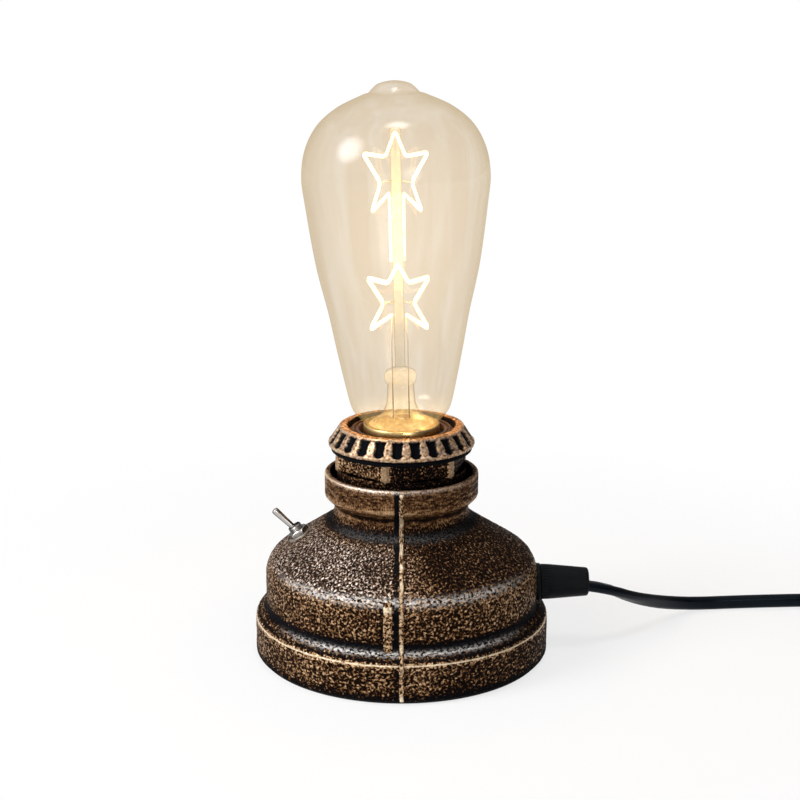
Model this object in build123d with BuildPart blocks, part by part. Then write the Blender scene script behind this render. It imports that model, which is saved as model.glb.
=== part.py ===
from build123d import *
import math
import os

os.makedirs("parts", exist_ok=True)

# Table lamp: a rough cast base with a toggle switch, a screw lampholder and a filament bulb.
# Millimetres, +Z up, the origin at the middle of the underside, the switch on -X, the cord on +X.

# base casting
base_dia = 101.6
base_r = base_dia / 2
pad_t = 1.0
flange_z = 13.6
flange_step = 3.9
body_r = base_r - flange_step
ledge_z = 16.6
shoulder_z = 32.7
neck_r = 22.9
neck_z = 48.3
throat_z = 52.4
neck_bend = 0.794
collar_r = 26.3
collar_z = 55.7
collar_top = 63.75
collar_in_r = 24.3
wall = 3.2
rib_w = 1.6
rib_h = 0.7
rib_drop = 0.25
cast_pad_w = 3.0
cast_pad_x = -4.4
cast_pad_top = 31.0
cover_t = 1.5
cover_inset = 4.8
cover_r = base_r - cover_inset
boss_r = 4.2
boss_inset = 3.1
boss_h = 18.0
screw_ring_r = body_r - wall - boss_inset
cover_screw_r = 1.5
cover_screw_len = 12.0

# lampholder and its clamp
fit = 0.05
seat_z = 58.5
hex_z = 65.4
hex_top = 71.4
hex_corner_r = 23.4
hex_turn = 16.8
bush_seat_r = 22.0
shank_r = 20.0
shank_bottom = 40.0
bush_floor_t = 3.0
spigot_top = 76.0
holder_r = 17.9
holder_flange_r = 19.6
holder_flange_t = 1.6
ring_top = 79.8
ring_top_r = 21.3
ring_bead_r = 24.9
ring_bead_z = 73.8
ring_lip_r = 18.1
ring_foot_r = 24.0
ring_groove_r = 23.4
notch_count = 24
notch_turn = -93.4
notch_depth = 1.2
holder_bore_r = 14.0
holder_rim_r = 17.0
holder_rim_in_r = 14.6
holder_rim_top = 78.8
holder_floor_z = 50.0
shell_t = 0.5
shell_bottom = 55.5
shell_top = 75.5
brass_t = 0.6
nipple_r = 5.0
nipple_bore_r = 3.6
nipple_bottom = 33.5
nipple_top = 47.8
locknut_t = 3.4
locknut_corner_r = 8.0
terminal_y = 10.0
terminal_head_r = 2.6

# bulb
bulb_contact_z = 54.5
cap_r = 13.0
cap_t = 0.5
cap_bottom = 61.6
cap_top = 80.4
glass_t = 0.8
glass_bottom = 72.0
glass_foot = 80.0
glass_h = 114.4
glass_rows = [
    (12.1, 0.0),
    (14.3, 0.02622),
    (16.7, 0.0542),
    (18.75, 0.12675),
    (21.3, 0.23601),
    (23.6, 0.34091),
    (27.2, 0.48077),
    (30.1, 0.6556),
    (30.97, 0.73427),
    (29.6, 0.81031),
    (25.5, 0.87762),
    (18.9, 0.92832),
    (10.6, 0.96416),
]
glass_outline = [(r, glass_foot + share * glass_h) for r, share in glass_rows]
tip_r = 7.4
tip_h = 2.4
tip_top = glass_foot + glass_h
bulb_lean = 1.25
stem_r = 4.9
stem_t = 0.9
flare_r = 11.0
flare_z = 80.4
pinch_z = 93.2
pinch_top = 99.6
pinch_w = 10.8
pinch_d = 5.2
rod_r = 1.7
rod_past = 1.2
lead_x = 2.7
wire_r = 0.32
filament_r = 0.34
filament_y = 2.1
foot_y = 0.75
lower_star_gap = 13.1
upper_star_z = glass_foot + 0.62937 * glass_h
lower_star_z = pinch_top + lower_star_gap
upper_rows = [(2.3, 6.2), (8.3, 0.0), (5.1, 9.6), (10.7, 19.3), (3.3, 18.0), (0.0, 26.4)]
lower_rows = [(2.3, 4.9), (9.8, 0.0), (5.0, 8.8), (10.4, 17.5), (3.4, 15.6), (0.0, 22.1)]
upper_star = [(x, upper_star_z + rise) for x, rise in upper_rows]
lower_star = [(x, lower_star_z + rise) for x, rise in lower_rows]
rod_top = upper_star[-1][1] + rod_past

# switch, on the left of the shoulder and square to it
slope = (neck_z - shoulder_z) / (body_r - neck_r)
switch_off = 0.2
switch_r = (body_r + neck_r) / 2 + switch_off
switch_rise = shoulder_z + (body_r - switch_r) * slope
switch_tilt = math.degrees(math.atan(slope))
spot_depth = 0.3
spot_r = 5.0
switch_wall = 4.0
bushing_r = 2.4
bushing_top = 3.9
bushing_bore_r = 1.7
bushing_mouth_r = 2.05
washer_r = 4.2
washer_t = 0.6
nut_flats = 6.8
nut_t = 1.8
pivot_h = 1.2
lever_lean = 13.0
lever_len = 11.6
lever_r = 0.95
lever_tip_r = 1.3
switch_box = (9.0, 7.0, 9.5)
lug_x = 2.35
lug_len = 3.7

# cord, gland and plug
gland_z = 23.1
gland_sink = 0.5
gland_face = body_r - gland_sink
gland_flange_t = 1.8
gland_r = 6.45
gland_end_r = 4.9
gland_len = 16.85
gland_end = gland_face + gland_flange_t + gland_len
gland_thread_r = 5.0
gland_reach = 7.7
gland_inner = body_r - wall - gland_reach
gland_mouth_r = 3.9
gland_mouth_run = 8.0
locknut_room = 4.0
cord_r = 2.2
cord_bore_r = 2.8
cord_lie = 2.6
cord_back = 33.4
cord_route = [
    (-15.05, 0.0, gland_z),
    (4.45, 0.0, 21.6),
    (18.95, 11.0, 12.2),
    (38.95, 31.0, cord_lie),
    (62.95, 33.6, cord_lie),
]
cord_points = [(gland_end + x, y, z) for x, y, z in cord_route]
coil_far = 117.95
coil_x = gland_end + coil_far
coil_z = 3.3
coil_outer_r = 38.5
coil_y = cord_back - coil_outer_r
coil_lead_in = 21.0
coil_pitch = 4.9
coil_layer = 5.2
coil_halves = 9
tie_w = 6.0
tie_t = 0.6
plug_gap = 30.0
plug_len = 28.0
plug_w = 26.0
plug_h = 2 * (coil_z + coil_layer)
blade_gap = 12.7
blade = (1.5, 6.3, 17.0)
lead_r = 0.85
lead_gap = 1.05


def displaced(points, d):
    """The corners of an open outline moved d outwards, square to its runs."""
    runs = [Vector(b) - Vector(a) for a, b in zip(points, points[1:])]
    normals = [Vector(run.Y, -run.X).normalized() for run in runs]
    moved = []
    for i, point in enumerate(points):
        before = normals[max(i - 1, 0)]
        after = normals[min(i, len(normals) - 1)]
        shift = (before + after) * (d / (1 + before.dot(after)))
        moved.append((point[0] + shift.X, point[1] + shift.Y))
    return moved


def bend_radii(points, share=0.45):
    """Radii that use the given share of the shorter run at each bend."""
    found = []
    for a, b, c in zip(points, points[1:], points[2:]):
        run_in = Vector(b) - Vector(a)
        run_out = Vector(c) - Vector(b)
        half = math.radians(run_in.get_angle(run_out)) / 2
        found.append(share * min(run_in.length, run_out.length) / math.tan(half))
    return found


def start_plane(points):
    """The plane square to the first run of a path."""
    return Plane(origin=points[0], z_dir=Vector(points[1]) - Vector(points[0]))


def finish(builder, name, lean=0.0):
    """Labels a finished piece and writes it, leaning from the rim of the bulb's cap."""
    piece = builder.part
    if lean:
        piece = piece.rotate(Axis((0, 0, cap_top), (0, 1, 0)), -lean)
    piece.label = name
    export_step(piece, f"parts/{name}.step")


skin = [
    (base_r, pad_t),
    (base_r, flange_z),
    (body_r, ledge_z),
    (body_r, shoulder_z),
    (neck_r, neck_z),
    (neck_r, throat_z),
    (collar_r, collar_z),
    (collar_r, collar_top),
]
neck_round = neck_bend * (throat_z - neck_z) / math.tan(math.radians(90 - switch_tilt) / 2)
skin_rounds = [0, 2.4, 1.2, 8.6, neck_round, 0, 1.0, 0.7]
skin_bends = [0, 1, -1, 1, -1, -1, 1, 0]
cavity_r = body_r - wall
bore_r = shank_r + fit
hidden = wall * math.sqrt(1 + slope**2)
cavity = [
    (collar_in_r, collar_top),
    (collar_in_r, seat_z),
    (bore_r, seat_z),
    (bore_r, shoulder_z + (body_r - bore_r) * slope - hidden),
    (cavity_r, shoulder_z + (body_r - cavity_r) * slope - hidden),
    (cavity_r, pad_t + cover_t),
    (cover_r + 4 * fit, pad_t + cover_t),
    (cover_r + 4 * fit, pad_t),
]

switch_plane = Plane(
    origin=(-switch_r, 0, switch_rise),
    x_dir=(-math.cos(math.radians(switch_tilt)), 0, -math.sin(math.radians(switch_tilt))),
    z_dir=(-math.sin(math.radians(switch_tilt)), 0, math.cos(math.radians(switch_tilt))),
)
gland_plane = Plane(origin=(0, 0, gland_z), x_dir=(0, 1, 0), z_dir=(1, 0, 0))

with BuildPart() as base_casting:
    with BuildSketch(Plane.XZ):
        with BuildLine():
            FilletPolyline(*skin, *cavity, radius=skin_rounds + [0] * len(cavity), close=True)
        make_face()
    revolve(axis=Axis.Z)
    rib_skin = skin[:-1] + [(collar_r, collar_top - rib_drop)]
    rounds = [r + b * rib_h if r and b else 0 for r, b in zip(skin_rounds, skin_bends)]
    for side in (-1, 1):
        rib_out = [(side * r, z) for r, z in displaced(rib_skin, rib_h)]
        rib_in = [(side * r, z) for r, z in displaced(rib_skin, -1.2)]
        with BuildSketch(Plane.YZ):
            with BuildLine():
                FilletPolyline(*rib_out, *reversed(rib_in), radius=rounds + [0] * len(rib_in), close=True)
            make_face()
        extrude(amount=rib_w / 2, both=True)
    with BuildSketch(Plane.XZ.offset(body_r - 1.5)):
        with Locations((cast_pad_x, (ledge_z + cast_pad_top) / 2 - 1)):
            RectangleRounded(cast_pad_w, cast_pad_top - ledge_z + 2, 1.3)
    extrude(amount=2.1)
    with BuildSketch(Plane.XY.offset(pad_t + cover_t)):
        with PolarLocations(screw_ring_r, 3, 90):
            Circle(boss_r)
    extrude(amount=boss_h)
    with BuildSketch(Plane.XY.offset(pad_t)):
        with PolarLocations(screw_ring_r, 3, 90):
            Circle(cover_screw_r + fit)
    extrude(amount=cover_screw_len + 1, mode=Mode.SUBTRACT)
    with BuildSketch(switch_plane.offset(-switch_wall)):
        Circle(spot_r + 2)
    extrude(amount=switch_wall - 1)
    with BuildSketch(switch_plane.offset(-spot_depth)):
        Circle(spot_r)
    extrude(amount=6, mode=Mode.SUBTRACT)
    with BuildSketch(switch_plane.offset(-switch_wall)):
        Circle(bushing_r + fit)
    extrude(amount=12, mode=Mode.SUBTRACT)
    with BuildSketch(gland_plane.offset(gland_face)):
        Circle(gland_r + 0.5)
    extrude(amount=6, mode=Mode.SUBTRACT)
    with BuildSketch(gland_plane.offset(cavity_r - locknut_room)):
        Circle(locknut_corner_r + 0.6)
    extrude(amount=locknut_room, mode=Mode.SUBTRACT)
    with BuildSketch(gland_plane.offset(cavity_r - locknut_room)):
        Circle(gland_thread_r + fit)
    extrude(amount=locknut_room + 2 * wall, mode=Mode.SUBTRACT)
finish(base_casting, "base_casting")

with BuildPart() as bottom_cover:
    with BuildSketch(Plane.XY.offset(pad_t)):
        Circle(cover_r)
        with PolarLocations(screw_ring_r, 3, 90):
            Circle(cover_screw_r + fit, mode=Mode.SUBTRACT)
    extrude(amount=cover_t)
    with PolarLocations(screw_ring_r, 3, 90):
        with Locations((0, 0, pad_t)):
            Cone(
                2 * cover_screw_r + fit,
                cover_screw_r + fit,
                cover_screw_r,
                align=(Align.CENTER, Align.CENTER, Align.MIN),
                mode=Mode.SUBTRACT,
            )
finish(bottom_cover, "bottom_cover")

with BuildPart() as cover_screws:
    with PolarLocations(screw_ring_r, 3, 90):
        with Locations((0, 0, pad_t)):
            Cone(
                2 * cover_screw_r,
                cover_screw_r,
                cover_screw_r,
                align=(Align.CENTER, Align.CENTER, Align.MIN),
            )
            Cylinder(cover_screw_r, cover_screw_len, align=(Align.CENTER, Align.CENTER, Align.MIN))
finish(cover_screws, "cover_screws")

with BuildPart() as foot_pad:
    with BuildSketch():
        Circle(base_r - 1.2)
    extrude(amount=pad_t)
finish(foot_pad, "foot_pad")

with BuildPart() as hex_bushing:
    with BuildSketch(Plane.XY.offset(hex_z)):
        RegularPolygon(hex_corner_r, 6, rotation=hex_turn)
        fillet(vertices(), 0.8)
    extrude(amount=hex_top - hex_z)
    with BuildSketch(Plane.XZ):
        with BuildLine():
            Polyline(
                (nipple_r + fit, shank_bottom),
                (shank_r, shank_bottom),
                (shank_r, seat_z),
                (bush_seat_r, seat_z),
                (bush_seat_r, hex_z + 1),
                (shank_r - 0.1, hex_z + 1),
                (shank_r - 0.1, spigot_top),
                (0, spigot_top),
                (0, shank_bottom + bush_floor_t),
                (nipple_r + fit, shank_bottom + bush_floor_t),
                close=True,
            )
        make_face()
    revolve(axis=Axis.Z)
    with BuildSketch(Plane.XY.offset(shank_bottom + bush_floor_t)):
        Circle(holder_r + 2 * fit)
    extrude(amount=40, mode=Mode.SUBTRACT)
finish(hex_bushing, "hex_bushing")

flank_foot = Vector(ring_bead_r - 0.5, ring_bead_z + 0.9)
flank_head = Vector(ring_top_r, ring_top - 0.5)
flank_run = flank_head - flank_foot
flank_mid = (flank_foot + flank_head) * 0.5
with BuildPart() as notched_ring:
    with BuildSketch(Plane.XZ):
        with BuildLine():
            Polyline(
                (shank_r, hex_top),
                (ring_foot_r, hex_top),
                (ring_foot_r, hex_top + 1.0),
                (ring_groove_r, hex_top + 1.3),
                (ring_bead_r - 0.5, hex_top + 1.5),
                (ring_bead_r, hex_top + 1.9),
                (ring_bead_r, ring_bead_z + 0.4),
                (flank_foot.X, flank_foot.Y),
                (flank_head.X, flank_head.Y),
                (ring_top_r - 0.4, ring_top),
                (ring_lip_r + 0.3, ring_top),
                (ring_lip_r, ring_top - 0.3),
                (ring_lip_r, spigot_top + holder_flange_t),
                (shank_r, spigot_top + holder_flange_t),
                close=True,
            )
        make_face()
    revolve(axis=Axis.Z)
    for k in range(notch_count):
        turn = math.radians(notch_turn + k * 360 / notch_count)
        out = Vector(math.cos(turn), math.sin(turn), 0)
        up = (out * flank_run.X + Vector(0, 0, flank_run.Y)).normalized()
        side = up.cross(out).normalized()
        notch_plane = Plane(
            origin=out * flank_mid.X + Vector(0, 0, flank_mid.Y),
            x_dir=side,
            z_dir=side.cross(up),
        )
        with BuildSketch(notch_plane.offset(-notch_depth)):
            Rectangle(2.5, flank_run.length - 1.6)
            with Locations((0, -flank_run.length / 2 + 1.0)):
                SlotCenterToCenter(1.2, 1.9)
            with Locations((0, flank_run.length / 2 - 0.75)):
                Rectangle(3.0, 0.7)
        extrude(amount=4, mode=Mode.SUBTRACT)
finish(notched_ring, "notched_ring")

with BuildPart() as lampholder_body:
    with BuildSketch(Plane.XZ):
        with BuildLine():
            Polyline(
                (nipple_r + fit, shank_bottom + bush_floor_t),
                (holder_r, shank_bottom + bush_floor_t),
                (holder_r, spigot_top),
                (holder_flange_r, spigot_top),
                (holder_flange_r, spigot_top + holder_flange_t),
                (holder_rim_r, spigot_top + holder_flange_t),
                (holder_rim_r, holder_rim_top - 0.4),
                (holder_rim_r - 0.4, holder_rim_top),
                (holder_rim_in_r + 0.4, holder_rim_top),
                (holder_rim_in_r, holder_rim_top - 0.4),
                (holder_rim_in_r, shell_top + 0.8),
                (holder_bore_r, shell_top),
                (holder_bore_r, holder_floor_z),
                (nipple_bore_r + fit, holder_floor_z),
                (nipple_bore_r + fit, nipple_top + 0.2),
                (nipple_r + fit, nipple_top + 0.2),
                close=True,
            )
        make_face()
    revolve(axis=Axis.Z)
    with BuildSketch(Plane.XY.offset(holder_floor_z)):
        with Locations((0, terminal_y), (0, -terminal_y)):
            Circle(cover_screw_r + fit)
    extrude(amount=-5.2, mode=Mode.SUBTRACT)
finish(lampholder_body, "lampholder_body")

shell_r = holder_bore_r - fit
with BuildPart() as lampholder_shell:
    with BuildSketch(Plane.XY.offset(shell_bottom)):
        Circle(shell_r)
        Circle(shell_r - shell_t, mode=Mode.SUBTRACT)
    extrude(amount=shell_top - shell_bottom)
    with BuildSketch(Plane.YZ):
        with BuildLine():
            Polyline(
                (terminal_y - 3, holder_floor_z),
                (shell_r - 0.5, holder_floor_z),
                (shell_r - 0.5, shell_bottom + 1),
                (shell_r - 0.5 - brass_t, shell_bottom + 1),
                (shell_r - 0.5 - brass_t, holder_floor_z + brass_t),
                (terminal_y - 3, holder_floor_z + brass_t),
                close=True,
            )
        make_face()
    extrude(amount=2.5, both=True)
    with BuildSketch(Plane.XY.offset(holder_floor_z)):
        with Locations((0, terminal_y)):
            Circle(cover_screw_r + fit)
    extrude(amount=brass_t, mode=Mode.SUBTRACT)
finish(lampholder_shell, "lampholder_shell")

with BuildPart() as centre_contact:
    with BuildSketch(Plane.YZ):
        with BuildLine():
            Polyline(
                (-terminal_y - 2.6, holder_floor_z),
                (-6.4, holder_floor_z),
                (-2.2, bulb_contact_z - brass_t),
                (3.0, bulb_contact_z - brass_t),
                (4.2, bulb_contact_z - 1.6),
                (4.7, bulb_contact_z - 1.2),
                (3.3, bulb_contact_z),
                (-2.5, bulb_contact_z),
                (-6.7, holder_floor_z + brass_t),
                (-terminal_y - 2.6, holder_floor_z + brass_t),
                close=True,
            )
        make_face()
    extrude(amount=2.5, both=True)
    with BuildSketch(Plane.XY.offset(holder_floor_z)):
        with Locations((0, -terminal_y)):
            Circle(cover_screw_r + fit)
    extrude(amount=brass_t, mode=Mode.SUBTRACT)
finish(centre_contact, "centre_contact")

with BuildPart() as terminal_screws:
    with Locations((0, terminal_y, holder_floor_z), (0, -terminal_y, holder_floor_z)):
        with Locations((0, 0, brass_t)):
            Cylinder(terminal_head_r, 1.6, align=(Align.CENTER, Align.CENTER, Align.MIN))
        with Locations((0, 0, -5.0)):
            Cylinder(cover_screw_r, 5.8, align=(Align.CENTER, Align.CENTER, Align.MIN))
finish(terminal_screws, "terminal_screws")

with BuildPart() as nipple:
    with BuildSketch(Plane.XY.offset(nipple_bottom)):
        Circle(nipple_r)
        Circle(nipple_bore_r, mode=Mode.SUBTRACT)
    extrude(amount=nipple_top - nipple_bottom)
finish(nipple, "nipple")

with BuildPart() as nipple_locknut:
    with BuildSketch(Plane.XY.offset(shank_bottom - locknut_t)):
        RegularPolygon(locknut_corner_r, 6)
        Circle(nipple_r + fit, mode=Mode.SUBTRACT)
    extrude(amount=locknut_t)
finish(nipple_locknut, "nipple_locknut")

glass_inside = displaced(glass_outline, -glass_t)
with BuildPart() as bulb_glass:
    with BuildSketch(Plane.XZ):
        with BuildLine():
            Line((glass_outline[0][0], glass_bottom), glass_outline[0])
            Spline(*glass_outline)
            Spline(
                glass_outline[-1],
                (tip_r, tip_top - tip_h),
                (0, tip_top),
                tangents=[(-0.92, 0.39), (-1, 0)],
            )
            Line((0, tip_top), (0, tip_top - 3 * glass_t))
            Spline((0, tip_top - 3 * glass_t), *reversed(glass_inside))
            Line(glass_inside[0], (glass_inside[0][0], glass_bottom))
            Line((glass_inside[0][0], glass_bottom), (glass_outline[0][0], glass_bottom))
        make_face()
    revolve(axis=Axis.Z)
finish(bulb_glass, "bulb_glass", bulb_lean)

with BuildPart() as bulb_cap:
    with BuildSketch(Plane.XZ):
        with BuildLine():
            Polyline(
                (cap_r - 0.9, cap_bottom),
                (cap_r, cap_bottom + 1.2),
                (cap_r, cap_top),
                (cap_r - cap_t, cap_top),
                (cap_r - cap_t, cap_bottom + 1.4),
                (cap_r - 0.9 - cap_t, cap_bottom + 0.2),
                close=True,
            )
        make_face()
    revolve(axis=Axis.Z)
finish(bulb_cap, "bulb_cap")

with BuildPart() as cap_insulator:
    with BuildSketch(Plane.XZ):
        with BuildLine():
            Polyline(
                (0, bulb_contact_z + 1.6),
                (5.6, bulb_contact_z + 1.6),
                (6.6, bulb_contact_z + 2.2),
                (cap_r - 1.3, cap_bottom - 1.0),
                (cap_r - 1.3, cap_bottom - 0.3),
                (0, cap_bottom - 0.3),
                close=True,
            )
        make_face()
    revolve(axis=Axis.Z)
finish(cap_insulator, "cap_insulator")

with BuildPart() as bulb_contact:
    with BuildSketch(Plane.XZ):
        with BuildLine():
            Polyline(
                (0, bulb_contact_z),
                (3.4, bulb_contact_z),
                (4.9, bulb_contact_z + 0.8),
                (4.9, bulb_contact_z + 1.6),
                (0, bulb_contact_z + 1.6),
                close=True,
            )
        make_face()
    revolve(axis=Axis.Z)
finish(bulb_contact, "bulb_contact")

with BuildPart() as bulb_stem:
    with BuildSketch(Plane.XZ):
        with BuildLine():
            Polyline(
                (flare_r, flare_z),
                (stem_r + 1.4, flare_z + 3.4),
                (stem_r, flare_z + 7.0),
                (stem_r - 0.4, pinch_z + 0.5),
                (0, pinch_z + 0.5),
                (0, pinch_z - 0.6),
                (stem_r - 0.4 - stem_t, pinch_z - 0.6),
                (stem_r - stem_t, flare_z + 7.0),
                (stem_r + 1.4 - stem_t, flare_z + 3.4),
                (flare_r - stem_t, flare_z),
                close=True,
            )
        make_face()
    revolve(axis=Axis.Z)
    with BuildSketch(Plane.XY.offset(pinch_z)):
        RectangleRounded(pinch_w, pinch_d, 2.0)
    extrude(amount=pinch_top - pinch_z, taper=2)
    with BuildSketch(Plane.XY.offset(pinch_z - 1)):
        with Locations((lead_x, 0), (-lead_x, 0)):
            Circle(wire_r + fit)
    extrude(amount=pinch_top - pinch_z + 3, mode=Mode.SUBTRACT)
finish(bulb_stem, "bulb_stem", bulb_lean)

with BuildPart() as mount_rod:
    with BuildSketch(Plane.XY.offset(pinch_top)):
        Circle(rod_r)
    extrude(amount=rod_top - pinch_top)
finish(mount_rod, "mount_rod", bulb_lean)

with BuildPart() as lead_wires:
    for side in (-1, 1):
        lead_points = [
            (side * lead_x, 0, flare_z + 1.5),
            (side * lead_x, 0, lower_star_z - 4.7),
            (side * lower_star[0][0], 0, lower_star[0][1] - 0.5),
        ]
        with BuildLine():
            FilletPolyline(*lead_points, radius=3.0)
        with BuildSketch(start_plane(lead_points)):
            Circle(wire_r)
        sweep()
finish(lead_wires, "lead_wires", bulb_lean)

with BuildPart() as support_hooks:
    for star in (upper_star, lower_star):
        for side in (-1, 1):
            for face in (-1, 1):
                foot = Vector(side * (rod_r + 0.25), 0, star[2][1])
                tip_at = Vector(side * (star[2][0] - 0.3), face * (filament_y - 0.3), star[2][1])
                with BuildSketch(Plane(origin=foot, z_dir=tip_at - foot)):
                    Circle(wire_r)
                extrude(amount=(tip_at - foot).length)
finish(support_hooks, "support_hooks", bulb_lean)


def star_turns(half, face):
    """Both halves of a star, from one foot round to the other, on one face of the mount."""
    turns = [(x, z) for x, z in half] + [(-x, z) for x, z in reversed(half[:-1])]
    depths = [foot_y] + [filament_y] * (len(turns) - 2) + [foot_y]
    return [(x, face * y, z) for (x, z), y in zip(turns, depths)]


with BuildPart() as upper_star_filament:
    for face in (-1, 1):
        star_points = star_turns(upper_star, face)
        strand = (face * (rod_r + 0.5), face * foot_y, lower_star[-1][1] + 0.9)
        star_points = [strand] + (star_points if face > 0 else star_points[::-1])
        with BuildLine():
            Polyline(*star_points)
        with BuildSketch(start_plane(star_points)):
            RegularPolygon(filament_r, 6)
        sweep(transition=Transition.RIGHT)
finish(upper_star_filament, "upper_star_filament", bulb_lean)

with BuildPart() as lower_star_filament:
    for face in (-1, 1):
        star_points = star_turns(lower_star, face)
        with BuildLine():
            Polyline(*star_points)
        with BuildSketch(start_plane(star_points)):
            RegularPolygon(filament_r, 6)
        sweep(transition=Transition.RIGHT)
finish(lower_star_filament, "lower_star_filament", bulb_lean)

washer_top = washer_t - spot_depth
with BuildPart() as switch_bushing:
    with BuildSketch(switch_plane.offset(-switch_wall)):
        Circle(bushing_r)
    extrude(amount=switch_wall + bushing_top)
    with BuildSketch(switch_plane.offset(-2.6)):
        Circle(bushing_bore_r)
    with BuildSketch(switch_plane.offset(bushing_top)):
        Circle(bushing_mouth_r)
    loft(mode=Mode.SUBTRACT)
finish(switch_bushing, "switch_bushing")

with BuildPart() as switch_nut:
    with BuildSketch(switch_plane.offset(washer_top)):
        RegularPolygon(nut_flats / 2, 6, major_radius=False)
        Circle(bushing_r + fit, mode=Mode.SUBTRACT)
    extrude(amount=nut_t)
finish(switch_nut, "switch_nut")

with BuildPart() as switch_washer:
    with BuildSketch(switch_plane.offset(-spot_depth)):
        Circle(washer_r)
        Circle(bushing_r + fit, mode=Mode.SUBTRACT)
    extrude(amount=washer_t)
finish(switch_washer, "switch_washer")

pivot = switch_plane.from_local_coords((0, 0, pivot_h))
lever_plane = Plane(
    origin=pivot,
    x_dir=(0, -1, 0),
    z_dir=Vector(switch_plane.z_dir).rotate(Axis.Y, -lever_lean),
)
with BuildPart() as switch_lever:
    with BuildSketch(Plane(origin=lever_plane.origin, x_dir=lever_plane.x_dir, z_dir=-lever_plane.y_dir)):
        with BuildLine():
            Polyline(
                (0, -2.6),
                (0.6, -2.6),
                (0.6, -1.1),
                (1.3, -0.4),
                (1.3, 0.4),
                (lever_r - 0.1, 1.1),
                (lever_r, lever_len - 4),
                (lever_tip_r, lever_len - 1.2),
                (lever_tip_r - 0.3, lever_len - 0.3),
                (lever_tip_r - 0.9, lever_len),
                (0, lever_len),
                close=True,
            )
        make_face()
    revolve(axis=Axis(lever_plane.origin, lever_plane.z_dir))
finish(switch_lever, "switch_lever")

with BuildPart() as switch_body:
    with BuildSketch(switch_plane.offset(-switch_wall)):
        RectangleRounded(switch_box[0], switch_box[1], 0.8)
    extrude(amount=-switch_box[2])
finish(switch_body, "switch_body")

with BuildPart() as switch_terminals:
    with BuildSketch(switch_plane.offset(-switch_wall - switch_box[2])):
        with Locations((lug_x, 0), (-lug_x, 0)):
            Rectangle(0.8, 2.0)
    extrude(amount=-lug_len)
finish(switch_terminals, "switch_terminals")

with BuildPart() as gland_body:
    with BuildSketch(gland_plane.offset(gland_face)):
        Circle(gland_r)
    extrude(amount=gland_flange_t)
    with BuildSketch(gland_plane.offset(gland_inner)):
        Circle(gland_thread_r)
    extrude(amount=gland_face - gland_inner)
    with BuildSketch(gland_plane.offset(gland_inner)):
        Circle(cord_bore_r)
    extrude(amount=gland_len + gland_reach, mode=Mode.SUBTRACT)
finish(gland_body, "gland_body")

cap_foot = gland_face + gland_flange_t
with BuildPart() as gland_cap:
    with BuildSketch(Plane.XZ):
        with BuildLine():
            Polyline(
                (cap_foot, gland_z + cord_bore_r),
                (cap_foot, gland_z + gland_r - 0.35),
                (cap_foot + 3.6, gland_z + gland_r - 0.5),
                (gland_end - 0.9, gland_z + gland_end_r),
                (gland_end - 0.25, gland_z + gland_end_r - 0.2),
                (gland_end, gland_z + gland_end_r - 0.6),
                (gland_end, gland_z + gland_mouth_r),
                (gland_end - gland_mouth_run, gland_z + cord_bore_r),
                close=True,
            )
        make_face()
    revolve(axis=Axis((0, 0, gland_z), (1, 0, 0)))
    with BuildSketch(gland_plane.offset(cap_foot)):
        with PolarLocations(gland_r - 0.2, 14):
            Circle(0.45)
    extrude(amount=3.4, mode=Mode.SUBTRACT)
finish(gland_cap, "gland_cap")

with BuildPart() as gland_locknut:
    with BuildSketch(gland_plane.offset(cavity_r - 3)):
        RegularPolygon(locknut_corner_r, 6)
        Circle(gland_thread_r + fit, mode=Mode.SUBTRACT)
    extrude(amount=3)
finish(gland_locknut, "gland_locknut")

coil_start = (coil_x - 4 * cord_r, coil_y + coil_outer_r, coil_z)
run_points = cord_points + [(coil_start[0] - coil_lead_in, *coil_start[1:]), coil_start]
run_radii = bend_radii(run_points)
print("cord bend radii", [round(r, 1) for r in run_radii])
with BuildPart() as cord_run:
    with BuildLine() as run_path:
        FilletPolyline(*run_points, radius=run_radii)
    with BuildSketch(start_plane(run_points)):
        Circle(cord_r)
    sweep()
finish(cord_run, "cord_run")

# the coil: half turns that spiral in on the lower layer, climb in the turn that reverses, and spiral out
with BuildPart() as cord_coil:
    with BuildLine() as coil_path:
        top = Vector(coil_x, coil_y + coil_outer_r, coil_z)
        Line(coil_start, top)
        at = top
        way = 1
        radius = coil_outer_r
        for k in range(coil_halves):
            across = Vector(0, -2 * way * radius, 0)
            ThreePointArc(at, at + across * 0.5 + Vector(way * radius, 0, 0), at + across)
            at = at + across
            way = -way
            radius -= coil_pitch / 2
        reach = math.sqrt(radius**2 + coil_layer**2 / 4)
        across = Vector(0, -2 * way * radius, coil_layer)
        middle = at + across * 0.5 + Vector(way * reach, 0, 0)
        TangentArc(at, middle, tangent=(way, 0, 0))
        TangentArc(middle, at + across, tangent=across)
        at = at + across
        way = -way
        radius += coil_pitch / 2
        for k in range(coil_halves - 1):
            across = Vector(0, -2 * way * radius, 0)
            ThreePointArc(at, at + across * 0.5 + Vector(way * radius, 0, 0), at + across)
            at = at + across
            way = -way
            radius += coil_pitch / 2
        quarter = Vector(radius, -radius, 0)
        half = radius * math.sqrt(0.5)
        ThreePointArc(at, at + Vector(half, half - radius, 0), at + quarter)
        at = at + quarter
        coil_end = at - Vector(0, plug_gap, 0)
        Line(at, coil_end)
    with BuildSketch(Plane(origin=coil_start, z_dir=(1, 0, 0))):
        Circle(cord_r)
    sweep()
finish(cord_coil, "cord_coil")

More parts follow.
